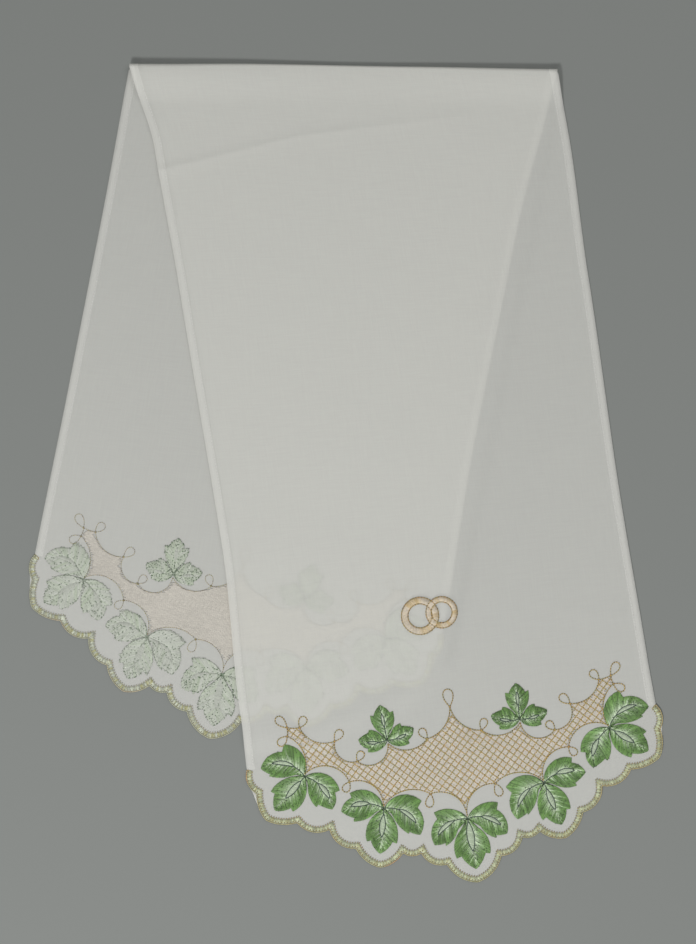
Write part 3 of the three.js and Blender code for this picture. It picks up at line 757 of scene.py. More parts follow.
def running(points, stitch, gap):
    """Starts and ends of running stitches along a path, evenly spaced."""
    along = reached(points)
    count = max(1, round(along[-1] / (stitch + gap)))
    pitch = along[-1] / count
    firsts = np.arange(count) * pitch + gap / 2
    lasts = firsts + pitch - gap
    return read(points, along, firsts), read(points, along, lasts)


# How much darker and lighter than its colour a single thread may be
THREAD_TONES = (0.85, 1.1)
LATTICE_TONES = (0.88, 1.08)


def picked_threads(colours, count, tones=THREAD_TONES):
    """One of a few thread colours for each stitch at random, made lighter or darker."""
    picked = np.asarray(colours)[RANDOM.integers(0, len(colours), count)]
    return picked * RANDOM.uniform(*tones, (count, 1))


def run_along(layer, path, look, sizes, colours):
    """Running stitches along a path, each in one of a few thread colours at random."""
    starts, ends = running(path, look["stitch"], look["gap"])
    return lay(layer, starts, ends, look, sizes, picked_threads(colours, len(starts)))


def inside(spots, outline):
    """True where a spot is inside an outline: a line to its right crosses an odd number of
    the outline's sides."""
    x, y = spots[:, None, 0], spots[:, None, 1]
    x0, y0 = outline[None, :, 0], outline[None, :, 1]
    x1, y1 = np.roll(outline, -1, 0)[None, :, 0], np.roll(outline, -1, 0)[None, :, 1]
    spans = (y0 > y) != (y1 > y)
    rise = np.where(spans, y1 - y0, 1)
    crossing = x0 + (y - y0) / rise * (x1 - x0)
    return (spans & (x < crossing)).sum(1) % 2 == 1


def finish_piece(piece, slot, *nodes):
    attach(piece, "root")
    if nodes:
        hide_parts(*nodes)


# The cloth's grid: rows of each stretch, how the front layer's rows lie closer together near
# the fold, where it is creased, and the hem's columns. The columns between the hems start a
# little in from them, and the outline's climb, divided by this, adds to their distance.
ROWS = {"end": 26, "back": 76, "nose": 12, "front": 136}
FRONT_ROWS = ((0, 0.38, 1), (0, 0.16, 1))
HEM_COLUMNS = (0, 4, HEM_WIDTH - HEM_EDGE, HEM_WIDTH + HEM_EDGE)
HEM_MARGIN = 5
CLIMB_DIVISOR = 3

# The front layer's grid starts this many times as far in as the nose reaches
NOSE_MARGIN = 1.05


def bottom_outline(layer):
    """The scalloped outline without the two short scallops beside the corners."""
    arcs = [points for points, _ in scallops(layer)[1:-1]]
    return np.concatenate([arcs[0], *(points[1:] for points in arcs[1:])])


def column_shares(layer):
    """Columns as shares of the width: narrow ones at the hems, and between them as far apart
    as the outline's points are sideways, plus a third of what they are up and down."""
    width = layer["right"][-1] - layer["left"][-1]
    steps = np.abs(np.diff(bottom_outline(layer), axis=0))
    spread = np.concatenate([[0], np.cumsum(steps[:, 0] + steps[:, 1] / CLIMB_DIVISOR)])
    shares = spread / spread[-1]
    hem = np.array(HEM_COLUMNS) / width
    held = len(hem)
    inner = shares[held:-held]
    inner = (inner - inner[0]) / (inner[-1] - inner[0])
    first = (HEM_WIDTH + HEM_MARGIN) / width
    return np.concatenate([hem, first + (1 - 2 * first) * inner, 1 - hem[::-1]])


def end_patch(layer, shares):
    """The scalloped end between the corner row, the outline and the two short scallops: a
    Coons patch, which is the straight blend of rows plus what the curved sides add to it."""
    arcs = scallops(layer)
    down = np.linspace(0, 1, ROWS["end"] + 1)[:, None, None]
    share = shares[None, :, None]
    left_corner = np.array([layer["left"][-1], END_HEIGHT])
    right_corner = np.array([layer["right"][-1], END_HEIGHT])
    top = left_corner + (right_corner - left_corner) * share
    bottom = bottom_outline(layer)[None]
    left = resample(arcs[0][0], ROWS["end"] + 1)[:, None]
    right = resample(arcs[-1][0][::-1], ROWS["end"] + 1)[:, None]
    straight = top + (bottom - top) * down
    patch = straight + (1 - share) * (left - straight[:, :1]) + share * (right - straight[:, -1:])
    x, y = on_table(layer, patch[..., 0], layer["corner"] + END_HEIGHT - patch[..., 1])
    return np.stack([x, y, resting_height(layer, x, y)], -1)[1:]


def cloth_grid():
    """Middle surface of the whole cloth, from the back end over the fold to the front end,
    with the share of hem at each point and 1 on rows whose outer side faces up."""
    shares = column_shares(FRONT)
    across, down = shares[None, :], np.linspace(0, 1, ROWS["back"] + 1)[1:, None]
    back = layer_point(BACK, across, down)
    nose_end = NOSE_MARGIN * (CAD_THICKNESS / 2 + loop_radius(across)) / FRONT["corner"]
    onwards = np.interp(np.linspace(0, 1, ROWS["front"] + 1)[1:, None], *FRONT_ROWS)
    front = layer_point(FRONT, across, nose_end + (1 - nose_end) * onwards)
    nose = nose_point(across, np.linspace(-np.pi / 2, np.pi / 2, ROWS["nose"] + 1)[:, None])
    ends = [end_patch(layer, shares) for layer in (BACK, FRONT)]
    grid = np.concatenate([ends[0][::-1], back[::-1], nose, front, ends[1]])
    hem = np.zeros(grid.shape[:2])
    held = len(HEM_COLUMNS) - 1
    hem[ROWS["end"] : -ROWS["end"], :held] = 1
    hem[ROWS["end"] : -ROWS["end"], -held:] = 1
    upward = np.arange(len(grid)) >= ROWS["end"] + ROWS["back"] + ROWS["nose"] // 2
    return grid, hem, upward[:, None]


def slab_faces(rows, columns):
    """Faces of a closed slab over a grid: the outer side, the inner one turned round, and a
    wall along the rim. Inner points follow the outer ones."""
    index = np.arange(rows * columns).reshape(rows, columns)
    corners = [index[:-1, :-1], index[1:, :-1], index[1:, 1:], index[:-1, 1:]]
    outer = np.stack(corners, -1).reshape(-1, 4)
    inner = outer[:, ::-1] + rows * columns
    rim = np.concatenate([index[:, 0], index[-1, 1:], index[-2::-1, -1], index[0, -2:0:-1]])
    after = np.roll(rim, -1)
    wall = np.stack([rim, rim + rows * columns, after + rows * columns, after], -1)
    return outer, inner, wall


def build_cloth(sizes, colours):
    grid, hem, upward = cloth_grid()
    rows, columns = grid.shape[:2]
    facing = np.cross(np.gradient(grid, axis=0), np.gradient(grid, axis=1))
    facing /= np.linalg.norm(facing, axis=2, keepdims=True)
    half = sizes["thickness"] / 2
    rise = hem * sizes["hem_rise"]
    outer = grid + facing * (half + rise * upward)[..., None]
    inner = grid - facing * (half + rise * ~upward)[..., None]
    vertices = np.concatenate([outer.reshape(-1, 3), inner.reshape(-1, 3)])
    sides = slab_faces(rows, columns)
    faces = np.concatenate(sides)
    piece = mesh_object("towel_cloth", vertices, faces, cloth_material(colours["cloth"]))
    flat = np.arange(len(faces)) < len(sides[0]) + len(sides[1])
    piece.data.polygons.foreach_set("use_smooth", flat)
    steps = np.linalg.norm(np.diff(grid, axis=1), axis=2)
    across = np.concatenate([np.zeros((rows, 1)), np.cumsum(steps, axis=1)], 1)
    across -= across[:, -1:] / 2
    along = reached(grid[:, columns // 2])[:, None] + 0 * across
    uv = np.tile(np.stack([across, along], -1).reshape(-1, 2) * MM, (2, 1))
    corners = np.zeros(len(piece.data.loops), np.int32)
    piece.data.loops.foreach_get("vertex_index", corners)
    layer = piece.data.uv_layers.new(name="strip")
    layer.data.foreach_set("uv", uv[corners].astype(np.float32).ravel())
    attribute = piece.data.attributes.new("hem", "FLOAT", "POINT")
    attribute.data.foreach_set("value", np.tile(hem.ravel(), 2).astype(np.float32))
    return piece


# Lockstitch along the hems: how far in from the long edge, from where to where down the
# layer and through how many points, how deep it is sunk and how much its tone varies
HEM_LINE = {"in": 6.9, "from": 0.035, "to": 0.995, "points": 400, "sunk": 0.05, "spread": 0.05}
HEM_STITCH = {"stitch": 2.4, "gap": 0.5, "width": 0.4, "rise": 0.22}


def build_hem_stitching(sizes, colours):
    batches = []
    down = np.linspace(HEM_LINE["from"], HEM_LINE["to"], HEM_LINE["points"])
    for layer in (BACK, FRONT):
        width = long_edge(layer, "right", down) - long_edge(layer, "left", down)
        inset = HEM_LINE["in"] / width
        for share in (inset, 1 - inset):
            path = layer_point(layer, share, down)
            path[:, 2] += sizes["thickness"] / 2 + sizes["hem_rise"] - HEM_LINE["sunk"]
            starts, ends = running(path, HEM_STITCH["stitch"], HEM_STITCH["gap"])
            tones = jittered(colours["sewing"], len(starts), HEM_LINE["spread"])
            size = HEM_STITCH["width"], HEM_STITCH["rise"]
            batches.append(spindles(starts, ends, *size, tones, tones))
    material = thread_material("white_cotton_sewing_thread", roughness=0.7, gloss=0.1)
    return thread_object("hem_stitching", batches, material)


def polar(turn, reach):
    turn = math.radians(turn)
    return np.array([reach * math.sin(turn), reach * math.cos(turn)])


def notch(tooth, tip):
    """The notch beside a side tooth, on the way to the tip and pulled in to the junction."""
    return (tooth + (tip - tooth) * TOOTH["share"]) * TOOTH["pull"]


# Steps of a lobe's rims and vein, and of the arcs that make up a rim
LOBE_STEPS = 128
SIDE_STEPS = 14
CROWN_STEPS = 10


def slit_sides(kind, number):
    """Where the two sides of a slit start: at its drop, on either side of its direction."""
    turn, reach, half = SLITS[kind][number]
    drop = polar(turn, reach)
    before, after = LOBES[kind][number]["last"], LOBES[kind][number + 1]["first"]
    ahead = (polar(*before) + polar(*after)) / 2 - drop
    aside = np.array([-ahead[1], ahead[0]]) / math.hypot(*ahead) * half
    return drop + aside, drop - aside


def lobe_rim(start, tooth, tip, swells):
    """Half of a lobe's outline: from the junction to where its side starts, along the side to
    the tooth and by the crown to the tip. Swells are shares of the side's and crown's length."""
    dent = notch(tooth, tip)
    side, _ = arc(start, tooth, swells[0] * math.dist(start, tooth), SIDE_STEPS)
    crown, _ = arc(dent, tip, swells[1] * math.dist(dent, tip), CROWN_STEPS)
    return resample(np.concatenate([np.zeros((1, 2)), side, crown]), LOBE_STEPS)


def leaf_lobes(kind):
    """Each lobe's two rims, its vein and its pod, in the leaf's frame. The sides, the crowns
    and the vein are arcs."""
    slits = [slit_sides(kind, number) for number in (0, 1)]
    rows = LOBES[kind]
    first_stem = polar(rows[0]["first"][0] - STEM["turn"], STEM["reach"])
    last_stem = polar(rows[2]["last"][0] + STEM["turn"], STEM["reach"])
    starts = ((first_stem, slits[0][0]), (slits[0][1], slits[1][0]), (slits[1][1], last_stem))
    lobes = []
    for row, swells, pair, pod in zip(rows, SWELLS[kind], starts, PODS[kind]):
        tip = polar(*row["tip"])
        vein = np.linspace((0, 0), tip, LOBE_STEPS)
        if row["bow"]:
            vein, _ = arc((0, 0), tip, row["bow"] * math.hypot(*tip), LOBE_STEPS - 1)
        lobe = {"vein": vein, "pod": pod}
        for side, key, start, sign in (("left", "first", pair[0], 1), ("right", "last", pair[1], -1)):
            swell = [sign * part for part in swells[key]]
            lobe[side] = lobe_rim(start, polar(*row[key]), tip, swell)
        lobes.append(lobe)
    return lobes


def leaf_to_end(leaf, spots):
    """Turns and shifts a leaf's own frame to places across and up the end."""
    turn = math.radians(leaf["turn"])
    x, y = spots[..., 0] * leaf["mirror"], spots[..., 1]
    out = x * math.cos(turn) + y * math.sin(turn)
    down = y * math.cos(turn) - x * math.sin(turn)
    return np.stack([leaf["side"] * (leaf["spot"][0] + out), leaf["spot"][1] - down], -1)


def read_along(path, share):
    """Points of a path of even steps at shares of its length."""
    return read(path, np.arange(len(path)), np.clip(share, 0, 1) * (len(path) - 1))


# A pod's sides are a sine to this power, which makes its ends blunter. The vein's direction
# is read this share of it ahead and behind, and the pod's stitches slant by as much. Their
# thread is this share of the pale one, lighter or darker by a spread.
POD_BLUNT = 0.8
POD_SLANT = 0.02
POD_TONE = {"share": 0.95, "spread": 0.12}
VEIN_POINTS = 30
POD_POINTS = 60


def pod_edge(lobe, share, sign):
    """The vein, moved sideways by a sine lens between the pod's start and end."""
    start, end, half = lobe["pod"]
    before, after = (read_along(lobe["vein"], share + step) for step in (-POD_SLANT, POD_SLANT))
    ahead = unit(after - before)
    aside = np.stack([-ahead[..., 1], ahead[..., 0]], -1) * sign
    along = np.clip((share - start) / (end - start), 0, 1)
    bulge = half * np.sin(np.pi * along) ** POD_BLUNT
    return read_along(lobe["vein"], share) + aside * bulge[..., None]


def pod_shares(lobe, pitch):
    """Shares of the vein at which stitches cross the lobe's pod, a thread's pitch apart."""
    start, end = lobe["pod"][:2]
    count = int((end - start) * step_lengths(lobe["vein"]).sum() / pitch)
    return start + (end - start) * (np.arange(count) + 0.5) / count


def vein_lines(lobe):
    """A lobe's vein up to its pod, and then the pod's two sides."""
    start, end = lobe["pod"][:2]
    outline = np.linspace(start, end, POD_POINTS)
    vein = pod_edge(lobe, np.linspace(0, start, VEIN_POINTS), 1)
    return [vein, pod_edge(lobe, outline, 1), pod_edge(lobe, outline, -1)]


# Satin stitch of a half lobe. Its lines start at this share of the vein, a slant behind their
# rim ends. Near the junction, where they crowd, they start further out, by a random share.
# They are split by turns at two shares, give or take, into stitches that overlap and are at
# least this long, with ragged ends at the rim. A stitch is domed over its padding, and lies
# a little higher or lower than the next one. The colour drifts over so many lines.
SATIN = {
    "vein": 0.985,
    "slant": 0.15,
    "crowd": (0.1, 0.6),
    "splits": (0.36, 0.62),
    "split_spread": 0.08,
    "least": 0.15,
    "overlap": 0.06,
    "ragged": (-0.015, 0.01),
    "dome": 0.15,
    "uneven": 0.06,
    "drift": 4,
}


def wander(count, reach):
    """Random numbers that drift, mostly between -2 and 2: the sum of a few neighbours in white
    noise, divided by the square root of how many they are."""
    noise = RANDOM.normal(size=count + reach - 1)
    return np.convolve(noise, np.ones(reach), "valid") / math.sqrt(reach)


def half_lobe(lobe, side, pitch):
    """Satin stitches of one half of a lobe, in lines that fan out from the vein or pod to the
    rim and lean towards the tip. Each line is a long and a short stitch by turns. Returns the
    stitches' starts and ends, how far out from the vein both are in millimetres and as a
    share, and for each stitch its share along the rim and its line's drift in colour."""
    rim = lobe[side]
    count = int(step_lengths(rim).sum() / pitch)
    share = (np.arange(count) + 0.5) / count
    inner = np.clip(share * SATIN["vein"] - SATIN["slant"], 0, 1)
    start = pod_edge(lobe, inner, 1 if side == "left" else -1)
    end = read_along(rim, share)
    crowd = np.clip(1 - share / SATIN["slant"], 0, 1)
    near = crowd * RANDOM.uniform(*SATIN["crowd"], count)
    spread = SATIN["split_spread"]
    split = np.resize(SATIN["splits"], count) + RANDOM.uniform(-spread, spread, count)
    split = np.maximum(split, near + SATIN["least"])
    ragged = RANDOM.uniform(*SATIN["ragged"], count)
    lows = np.concatenate([near, split - SATIN["overlap"]])
    highs = np.concatenate([split + SATIN["overlap"], 1 + ragged])
    line, from_vein = np.tile(end - start, (2, 1)), np.tile(start, (2, 1))
    return {
        "starts": from_vein + line * lows[:, None],
        "ends": from_vein + line * highs[:, None],
        "shares": (lows, highs),
        "outs": tuple(part * np.linalg.norm(line, axis=1) for part in (lows, highs)),
        "along": np.tile(share, 2),
        "drift": np.tile(wander(count, SATIN["drift"]), 2),
    }


# Thread colours of a half lobe by the distance in millimetres out from its vein or pod,
# through the threads' own shades from pale to green. The light table, for one half of each
# lobe, is lighter than the dark one, for the other half: painted sheen on a half that catches
# the light and painted shade on the other. The real stitches are about 0.4 mm wide, too fine
# to show, so they are drawn wider and fewer.
SHADES = {
    "light": ((-2, "pale"), (0.7, "pale"), (2, "light"), (3.6, "green"), (12, "green")),
    "dark": (
        (-2, "pale"),
        (-0.7, "pale"),
        (1, "light"),
        (2.5, "green"),
        (6, "deep"),
        (12, "green"),
    ),
}

# How uneven the colour of the satin is: how much lighter or darker a stitch, its group of
# lines and the lobe's two ends are, how many millimetres further in or out the shades of a
# group and of a stitch lie, and how much light green is in the stitches that reach the rim,
# which end past this share of their line; that light green is a painted highlight along the
# rim. The veins' lines vary by a spread.
STREAKS = {"tone": 0.32, "drift": 0.15, "along": 0.1, "reach": 0.9, "ragged": 1.4, "rim": 0.12}
RIM_HIGHLIGHT_SHARE = 0.9
LINE_SPREAD = 0.2

# Dark specks between the satin lines: how many, how long, over how much of a stitch they are
# strewn, which share of the deep green they are, and how much that varies
SPECKS = {"per_half": 56, "length": (0.6, 1.2), "strewn": 0.9, "dark": 0.45, "spread": 0.3}


def shade(table, out, colours):
    levels = np.array([colours[name] for _, name in table])
    return read(levels, [stop for stop, _ in table], out)


def leaf_layer(batches, layer, leaf, sizes):
    """A function that lays stitches given in a leaf's frame, as one more batch."""

    def add(starts, ends, look, *tones, lifts=None):
        places = (leaf_to_end(leaf, spots) for spots in (starts, ends))
        batches.append(lay(layer, *places, LOOKS[look], sizes, *tones, lifts=lifts))

    return add


def specks(lobe_half, count):
    """Short stitches along some of the satin stitches, picked at random."""
    picked = RANDOM.choice(len(lobe_half["starts"]), count, replace=False)
    starts, ends = lobe_half["starts"][picked], lobe_half["ends"][picked]
    run = unit(ends - starts)
    spots = starts + (ends - starts) * RANDOM.uniform(0, SPECKS["strewn"], (count, 1))
    return spots, spots + run * RANDOM.uniform(*SPECKS["length"], (count, 1))


def satin_lifts(shares):
    """How high satin ends lie: a half sine over the padding, and a little at random."""
    domes = np.sin(np.pi * np.clip(shares, 0, 1))
    uneven = RANDOM.uniform(0, SATIN["uneven"], len(shares))
    return LOOKS["leaf satin"]["lift"] + SATIN["dome"] * domes + uneven


def leaf_stitches(layer, leaf, sizes, colours):
    """All stitches of one leaf on the right side of the cloth."""
    batches = []
    add = leaf_layer(batches, layer, leaf, sizes)
    for number, lobe in enumerate(leaf_lobes(leaf["kind"])):
        # One half of each lobe takes the light table and the other the dark one: painted sheen on the
        # one and painted shade on the other
        sheen_lit_side = "left" if number == 0 else "right"
        for side in ("left", "right"):
            rows = half_lobe(lobe, side, sizes["thread"])
            count = len(rows["starts"])
            table = SHADES["light" if side == sheen_lit_side else "dark"]
            tone = RANDOM.uniform(1 - STREAKS["tone"], 1 + STREAKS["tone"], (count, 1))
            tone = tone * (1 + STREAKS["drift"] * rows["drift"][:, None])
            tone = tone * (1 + STREAKS["along"] * (0.5 - rows["along"][:, None]))
            reach = rows["drift"] * STREAKS["reach"]
            reach = reach + RANDOM.normal(size=count) * STREAKS["ragged"]
            lifts = [satin_lifts(part) for part in rows["shares"]]
            first, last = (shade(table, out - reach, colours) * tone for out in rows["outs"])
            # Stitches that reach the rim get light green mixed in: a painted highlight along the rim
            outer = STREAKS["rim"] * (rows["shares"][1] > RIM_HIGHLIGHT_SHARE)[:, None]
            last = mixed(last, colours["light"], outer)
            add(rows["starts"], rows["ends"], "leaf satin", first, last, lifts=lifts)
            starts, ends = specks(rows, SPECKS["per_half"])
            tones = jittered(colours["deep"] * SPECKS["dark"], len(starts), SPECKS["spread"])
            add(starts, ends, "leaf speck", tones)
        share = pod_shares(lobe, sizes["thread"])
        starts, ends = pod_edge(lobe, share - POD_SLANT, 1), pod_edge(lobe, share + POD_SLANT, -1)
        tones = jittered(colours["pale"] * POD_TONE["share"], len(share), POD_TONE["spread"])
        add(starts, ends, "leaf pod", tones)
        for path in vein_lines(lobe):
            starts, ends = running(path, sizes["running"], 0)
            add(starts, ends, "leaf line", jittered(colours["vein"], len(starts), LINE_SPREAD))
    return batches


# The wrong side of a leaf: how green it is and how dark its specks are, by the leaf's kind.
# At its greenest the bobbin thread has this share of light green. How green it is drifts, its
# stitches are too short or long by a share of their length, and their tones vary. Those of
# the pod vary by a spread and go past its sides by a share of their length.
WRONG_SIDE = {
    "tip": {"green": 0.4, "dark": 1},
    "shoulder": {"green": 0.2, "dark": 0.8},
    "small": {"green": 0.7, "dark": 1},
}
WRONG_SATIN = {"light": 0.25, "drift": 0.35, "frayed": 0.08, "tones": (0.86, 1.1)}
WRONG_POD = {"spread": 0.1, "past": 0.2}

# Its specks: how many in a half lobe and at the junction, what share of them show along the
# rims and the veins, how far they stray, how strong they are, and how far those at the
# junction lie from it and reach
WRONG_SPECKS = {
    "half": 46,
    "junction": 12,
    "rim": 0.65,
    "vein": 0.4,
    "stray": 0.6,
    "blend": (0.3, 1),
    "around": 1.6,
    "length": 1.3,
}


def wrong_side_stitches(layer, leaf, sizes, colours):
    """One leaf as the wrong side shows it: pale bobbin thread in loose lines, and specks of
    the green thread drawn through at the rims, the veins and the point where lobes meet."""
    batches = []
    add = leaf_layer(batches, layer, leaf, sizes)
    kind = WRONG_SIDE[leaf["kind"]]
    pale = colours["bobbin"]
    green = (1 - WRONG_SATIN["light"]) * pale + WRONG_SATIN["light"] * colours["light"]
    dark = mixed(pale, 0.5 * colours["vein"] + 0.5 * colours["deep"], kind["dark"])

    def add_specks(starts, ends):
        blend = RANDOM.uniform(*WRONG_SPECKS["blend"], (len(starts), 1))
        add(starts, ends, "wrong speck", mixed(pale, dark, blend))

    for lobe in leaf_lobes(leaf["kind"]):
        for side in ("left", "right"):
            rows = half_lobe(lobe, side, sizes["thread"])
            count = len(rows["starts"])
            frayed = RANDOM.normal(size=(count, 1)) * WRONG_SATIN["frayed"]
            ends = rows["ends"] + (rows["ends"] - rows["starts"]) * frayed
            drift = WRONG_SATIN["drift"] * rows["drift"][:, None]
            tones = mixed(pale, green, np.clip(kind["green"] + drift, 0, 1))
            tones = tones * RANDOM.uniform(*WRONG_SATIN["tones"], (count, 1))
            add(rows["starts"], ends, "wrong satin", tones)
            add_specks(*specks(rows, WRONG_SPECKS["half"]))
        share = pod_shares(lobe, sizes["thread"])
        tones = jittered(pale, len(share), WRONG_POD["spread"])
        starts, ends = (pod_edge(lobe, share, sign) for sign in (1, -1))
        past = (starts - ends) * WRONG_POD["past"]
        add(starts + past, ends - past, "wrong pod", tones)
        paths = [(lobe[side], WRONG_SPECKS["rim"]) for side in ("left", "right")]
        paths += [(path, WRONG_SPECKS["vein"]) for path in vein_lines(lobe)]
        look = LOOKS["wrong speck"]
        for path, share in paths:
            starts, ends = running(path, look["stitch"], look["gap"])
            kept = RANDOM.uniform(size=len(starts)) < share
            stray = RANDOM.uniform(-1, 1, (kept.sum(), 2)) * WRONG_SPECKS["stray"]
            add_specks(starts[kept] + stray, ends[kept] - stray)
    around, length = WRONG_SPECKS["around"], WRONG_SPECKS["length"]
    spots = RANDOM.uniform(-around, around, (WRONG_SPECKS["junction"], 2))
    add_specks(spots, spots + RANDOM.uniform(-length, length, spots.shape))
    return batches


# The edging's stitches are this far apart along the outline, with at least so many in an arc
# or a fan. Beside a blunt corner the inner ends slide over this many times their slide there.
EDGING_STEP = 0.6
EDGING_FEWEST = 3
SLIDE_SPREAD = 2.5


def edging_frame(layer):
    """Places along the scalloped outline, the way inwards at each and how far the edging
    reaches there, as a share of its width. On an arc the way is to its centre. At a cusp it
    fans round, and the reach is one over the cosine of the turn from either side. Before and
    after a blunt corner the inner ends slide away from it, by the width times the tangent of
    half the bend at the corner itself, so that they meet there without crossing."""
    rows = []
    for points, centre in scallops(layer):
        length = step_lengths(points).sum()
        places = resample(points, max(EDGING_FEWEST, int(length / EDGING_STEP)))
        away = centre - places
        rows.append((places, np.unwrap(np.arctan2(away[:, 1], away[:, 0])), centre, length))
    bends = [
        (after[1][0] - before[1][-1] + math.pi) % (2 * math.pi) - math.pi
        for before, after in zip(rows, rows[1:])
    ]
    bends = [0, *bends, 0]
    spots, ways, reaches = [], [], []
    for number, (places, turns, centre, length) in enumerate(rows):
        if bends[number] < 0:
            bend, first = -bends[number], turns[0] - bends[number]
            count = max(EDGING_FEWEST, int(bend * EDGING_WIDTH / EDGING_STEP))
            fan = np.linspace(0, 1, count + 2)[1:-1]
            spots.append(np.repeat(places[:1], count, 0))
            ways.append(np.stack([np.cos(first - bend * fan), np.sin(first - bend * fan)], -1))
            reaches.append(1 / np.cos(bend * (0.5 - np.abs(fan - 0.5))))
        inner = math.dist(places[0], centre) - EDGING_WIDTH
        along = np.linspace(0, length, len(places))
        slide = np.zeros(len(places))
        corners = ((bends[number], along, 1), (bends[number + 1], length - along, -1))
        for bend, distance, sign in corners:
            pull = EDGING_WIDTH * math.tan(max(bend, 0) / 2)
            slide += sign * pull * np.clip(1 - distance / max(SLIDE_SPREAD * pull, TINY), 0, 1)
        turned = turns + slide / inner
        run = centre - inner * np.stack([np.cos(turned), np.sin(turned)], -1) - places
        reach = np.linalg.norm(run, axis=1)
        spots.append(places)
        ways.append(run / reach[:, None])
        reaches.append(reach / EDGING_WIDTH)
    return np.concatenate(spots), np.concatenate(ways), np.concatenate(reaches)[:, None]


# Satin beads of the edging: how far in from the rim and from the inner edge they end, how
# many stitches share a shade and how much it varies, how strongly and over how many stitches
# olive drifts in, and the edging's share in the wrong side's thread
BEADS = {
    "rim": 1,
    "inner": 0.8,
    "shared": 3,
    "spread": 0.28,
    "olive": 0.9,
    "drift": 3,
    "wrong": 0.3,
}

# Lines along the edging: how far in from the rim they run, how they lie, and the colour that
# their thread is mixed with, by which share. The thread is olive with this share of gold,
# more or less by a drift of this strength over so many stitches, and turns orange where a
# second drift is past its limit.
EDGING_LINES = (
    {"depth": 0.3, "stitch": 2.2, "gap": 0, "width": 1.1, "lift": 0.25, "with": ("edging", 0.4)},
    {"depth": 1.9, "stitch": 1.3, "gap": 1.6, "width": 0.85, "lift": 0.45, "with": ("brown", 0.7)},
    {"depth": 5.8, "stitch": 1.1, "gap": 1.4, "width": 1, "lift": 0.4, "with": ("brown", 0.35)},
)
EDGING_DRIFT = {"gold": 0.3, "strength": 0.5, "reach": 30}
ORANGE_DRIFT = {"limit": 1.1, "reach": 10}
EDGING_LINE_RISE = 0.3


def edging_stitches(layer, sizes, colours, right_side):
    """Satin beads across the edging, and lines of running stitch along it whose thread
    drifts from gold to olive and back."""
    spots, ways, reaches = edging_frame(layer)
    gold, olive, edging = colours["gold"], colours["olive"], colours["edging"]

    def inset(depth):
        return spots + ways * reaches * depth

    count, shared = len(spots), BEADS["shared"]
    starts, ends = inset(BEADS["rim"]), inset(EDGING_WIDTH - BEADS["inner"])
    wrong = (1 - BEADS["wrong"]) * colours["bobbin"] + BEADS["wrong"] * edging
    pale = edging if right_side else wrong
    tones = np.repeat(jittered(pale, count // shared + 1, BEADS["spread"]), shared, 0)[:count]
    beads = wander(count, BEADS["drift"])[:, None]
    tones = mixed(tones, 0.5 * (olive + edging), np.clip(BEADS["olive"] * beads, 0, 1))
    look = LOOKS["edging bead" if right_side else "wrong bead"]
    batches = [lay(layer, starts, ends, look, sizes, tones)]
    for line in EDGING_LINES:
        starts, ends = running(inset(line["depth"]), line["stitch"], line["gap"])
        number = len(starts)
        drift = EDGING_DRIFT["strength"] * wander(number, EDGING_DRIFT["reach"])
        threads = mixed(olive, gold, np.clip(EDGING_DRIFT["gold"] + drift, 0, 1)[:, None])
        hot = wander(number, ORANGE_DRIFT["reach"])[:, None] - ORANGE_DRIFT["limit"]
        threads = mixed(threads, colours["orange"], np.clip(hot, 0, 1))
        other, share = line["with"]
        threads = mixed(threads, colours[other], share)
        if not right_side:
            threads = 0.5 * threads + 0.5 * pale
        threads = threads * RANDOM.uniform(*THREAD_TONES, (number, 1))
        look = {**line, "rise": EDGING_LINE_RISE}
        batches.append(lay(layer, starts, ends, look, sizes, threads))
    for end in (0, -1):
        path = np.stack([spots[end], spots[end] + ways[end] * EDGING_WIDTH])
        batches.append(run_along(layer, path, LOOKS["edging end"], sizes, [gold, olive]))
    return batches


FIELD_STEPS = 16  # of each arc round the lattice


def field_arcs():
    """The arcs round the lattice field, the right half and then the left one backwards."""
    arcs = []
    start = FIELD_START
    for row in FIELD:
        arcs.append(arc(start, row["end"], -row["sag"], FIELD_STEPS)[0])
        start = row["end"]
    return arcs + [points[::-1] * MIRROR for points in arcs[::-1]]


# The lattice: how far past the outline its lines are worked out, how far apart the two lines
# of a pair lie, how far apart the ground's threads lie and how dark the darker ones are, and
# how far the small stitches reach where lines cross
LATTICE = {"beyond": 1.5, "apart": 0.62, "pitch": 0.5, "ground": 0.97, "dot": 0.4}


def hatch(outline, direction, pitch, offset, stitch, gap):
    """Running stitches of parallel lines that fill an outline: starts and ends of those
    stitches of an endless hatch whose two ends are inside."""
    turn = math.radians(direction)
    ahead = np.array([math.cos(turn), math.sin(turn)])
    aside = np.array([-math.sin(turn), math.cos(turn)])
    reach = np.abs(outline).max() * LATTICE["beyond"]
    lines = np.arange(-reach, reach, pitch) + offset
    firsts = np.arange(-reach, reach, stitch + gap)
    line, first = np.meshgrid(lines, firsts, indexing="ij")
    line = line.ravel()
    first = first.ravel() + np.repeat(RANDOM.uniform(0, stitch, len(lines)), len(firsts))
    starts = aside * line[:, None] + ahead * first[:, None]
    ends = starts + ahead * stitch
    kept = inside(starts, outline) & inside(ends, outline)
    return starts[kept], ends[kept]


# The sideways wave of a thread loop peaks at 0.77, and this brings its peak to the half width
LOOP_SWELL = 1.3
LOOP_POINTS = 40


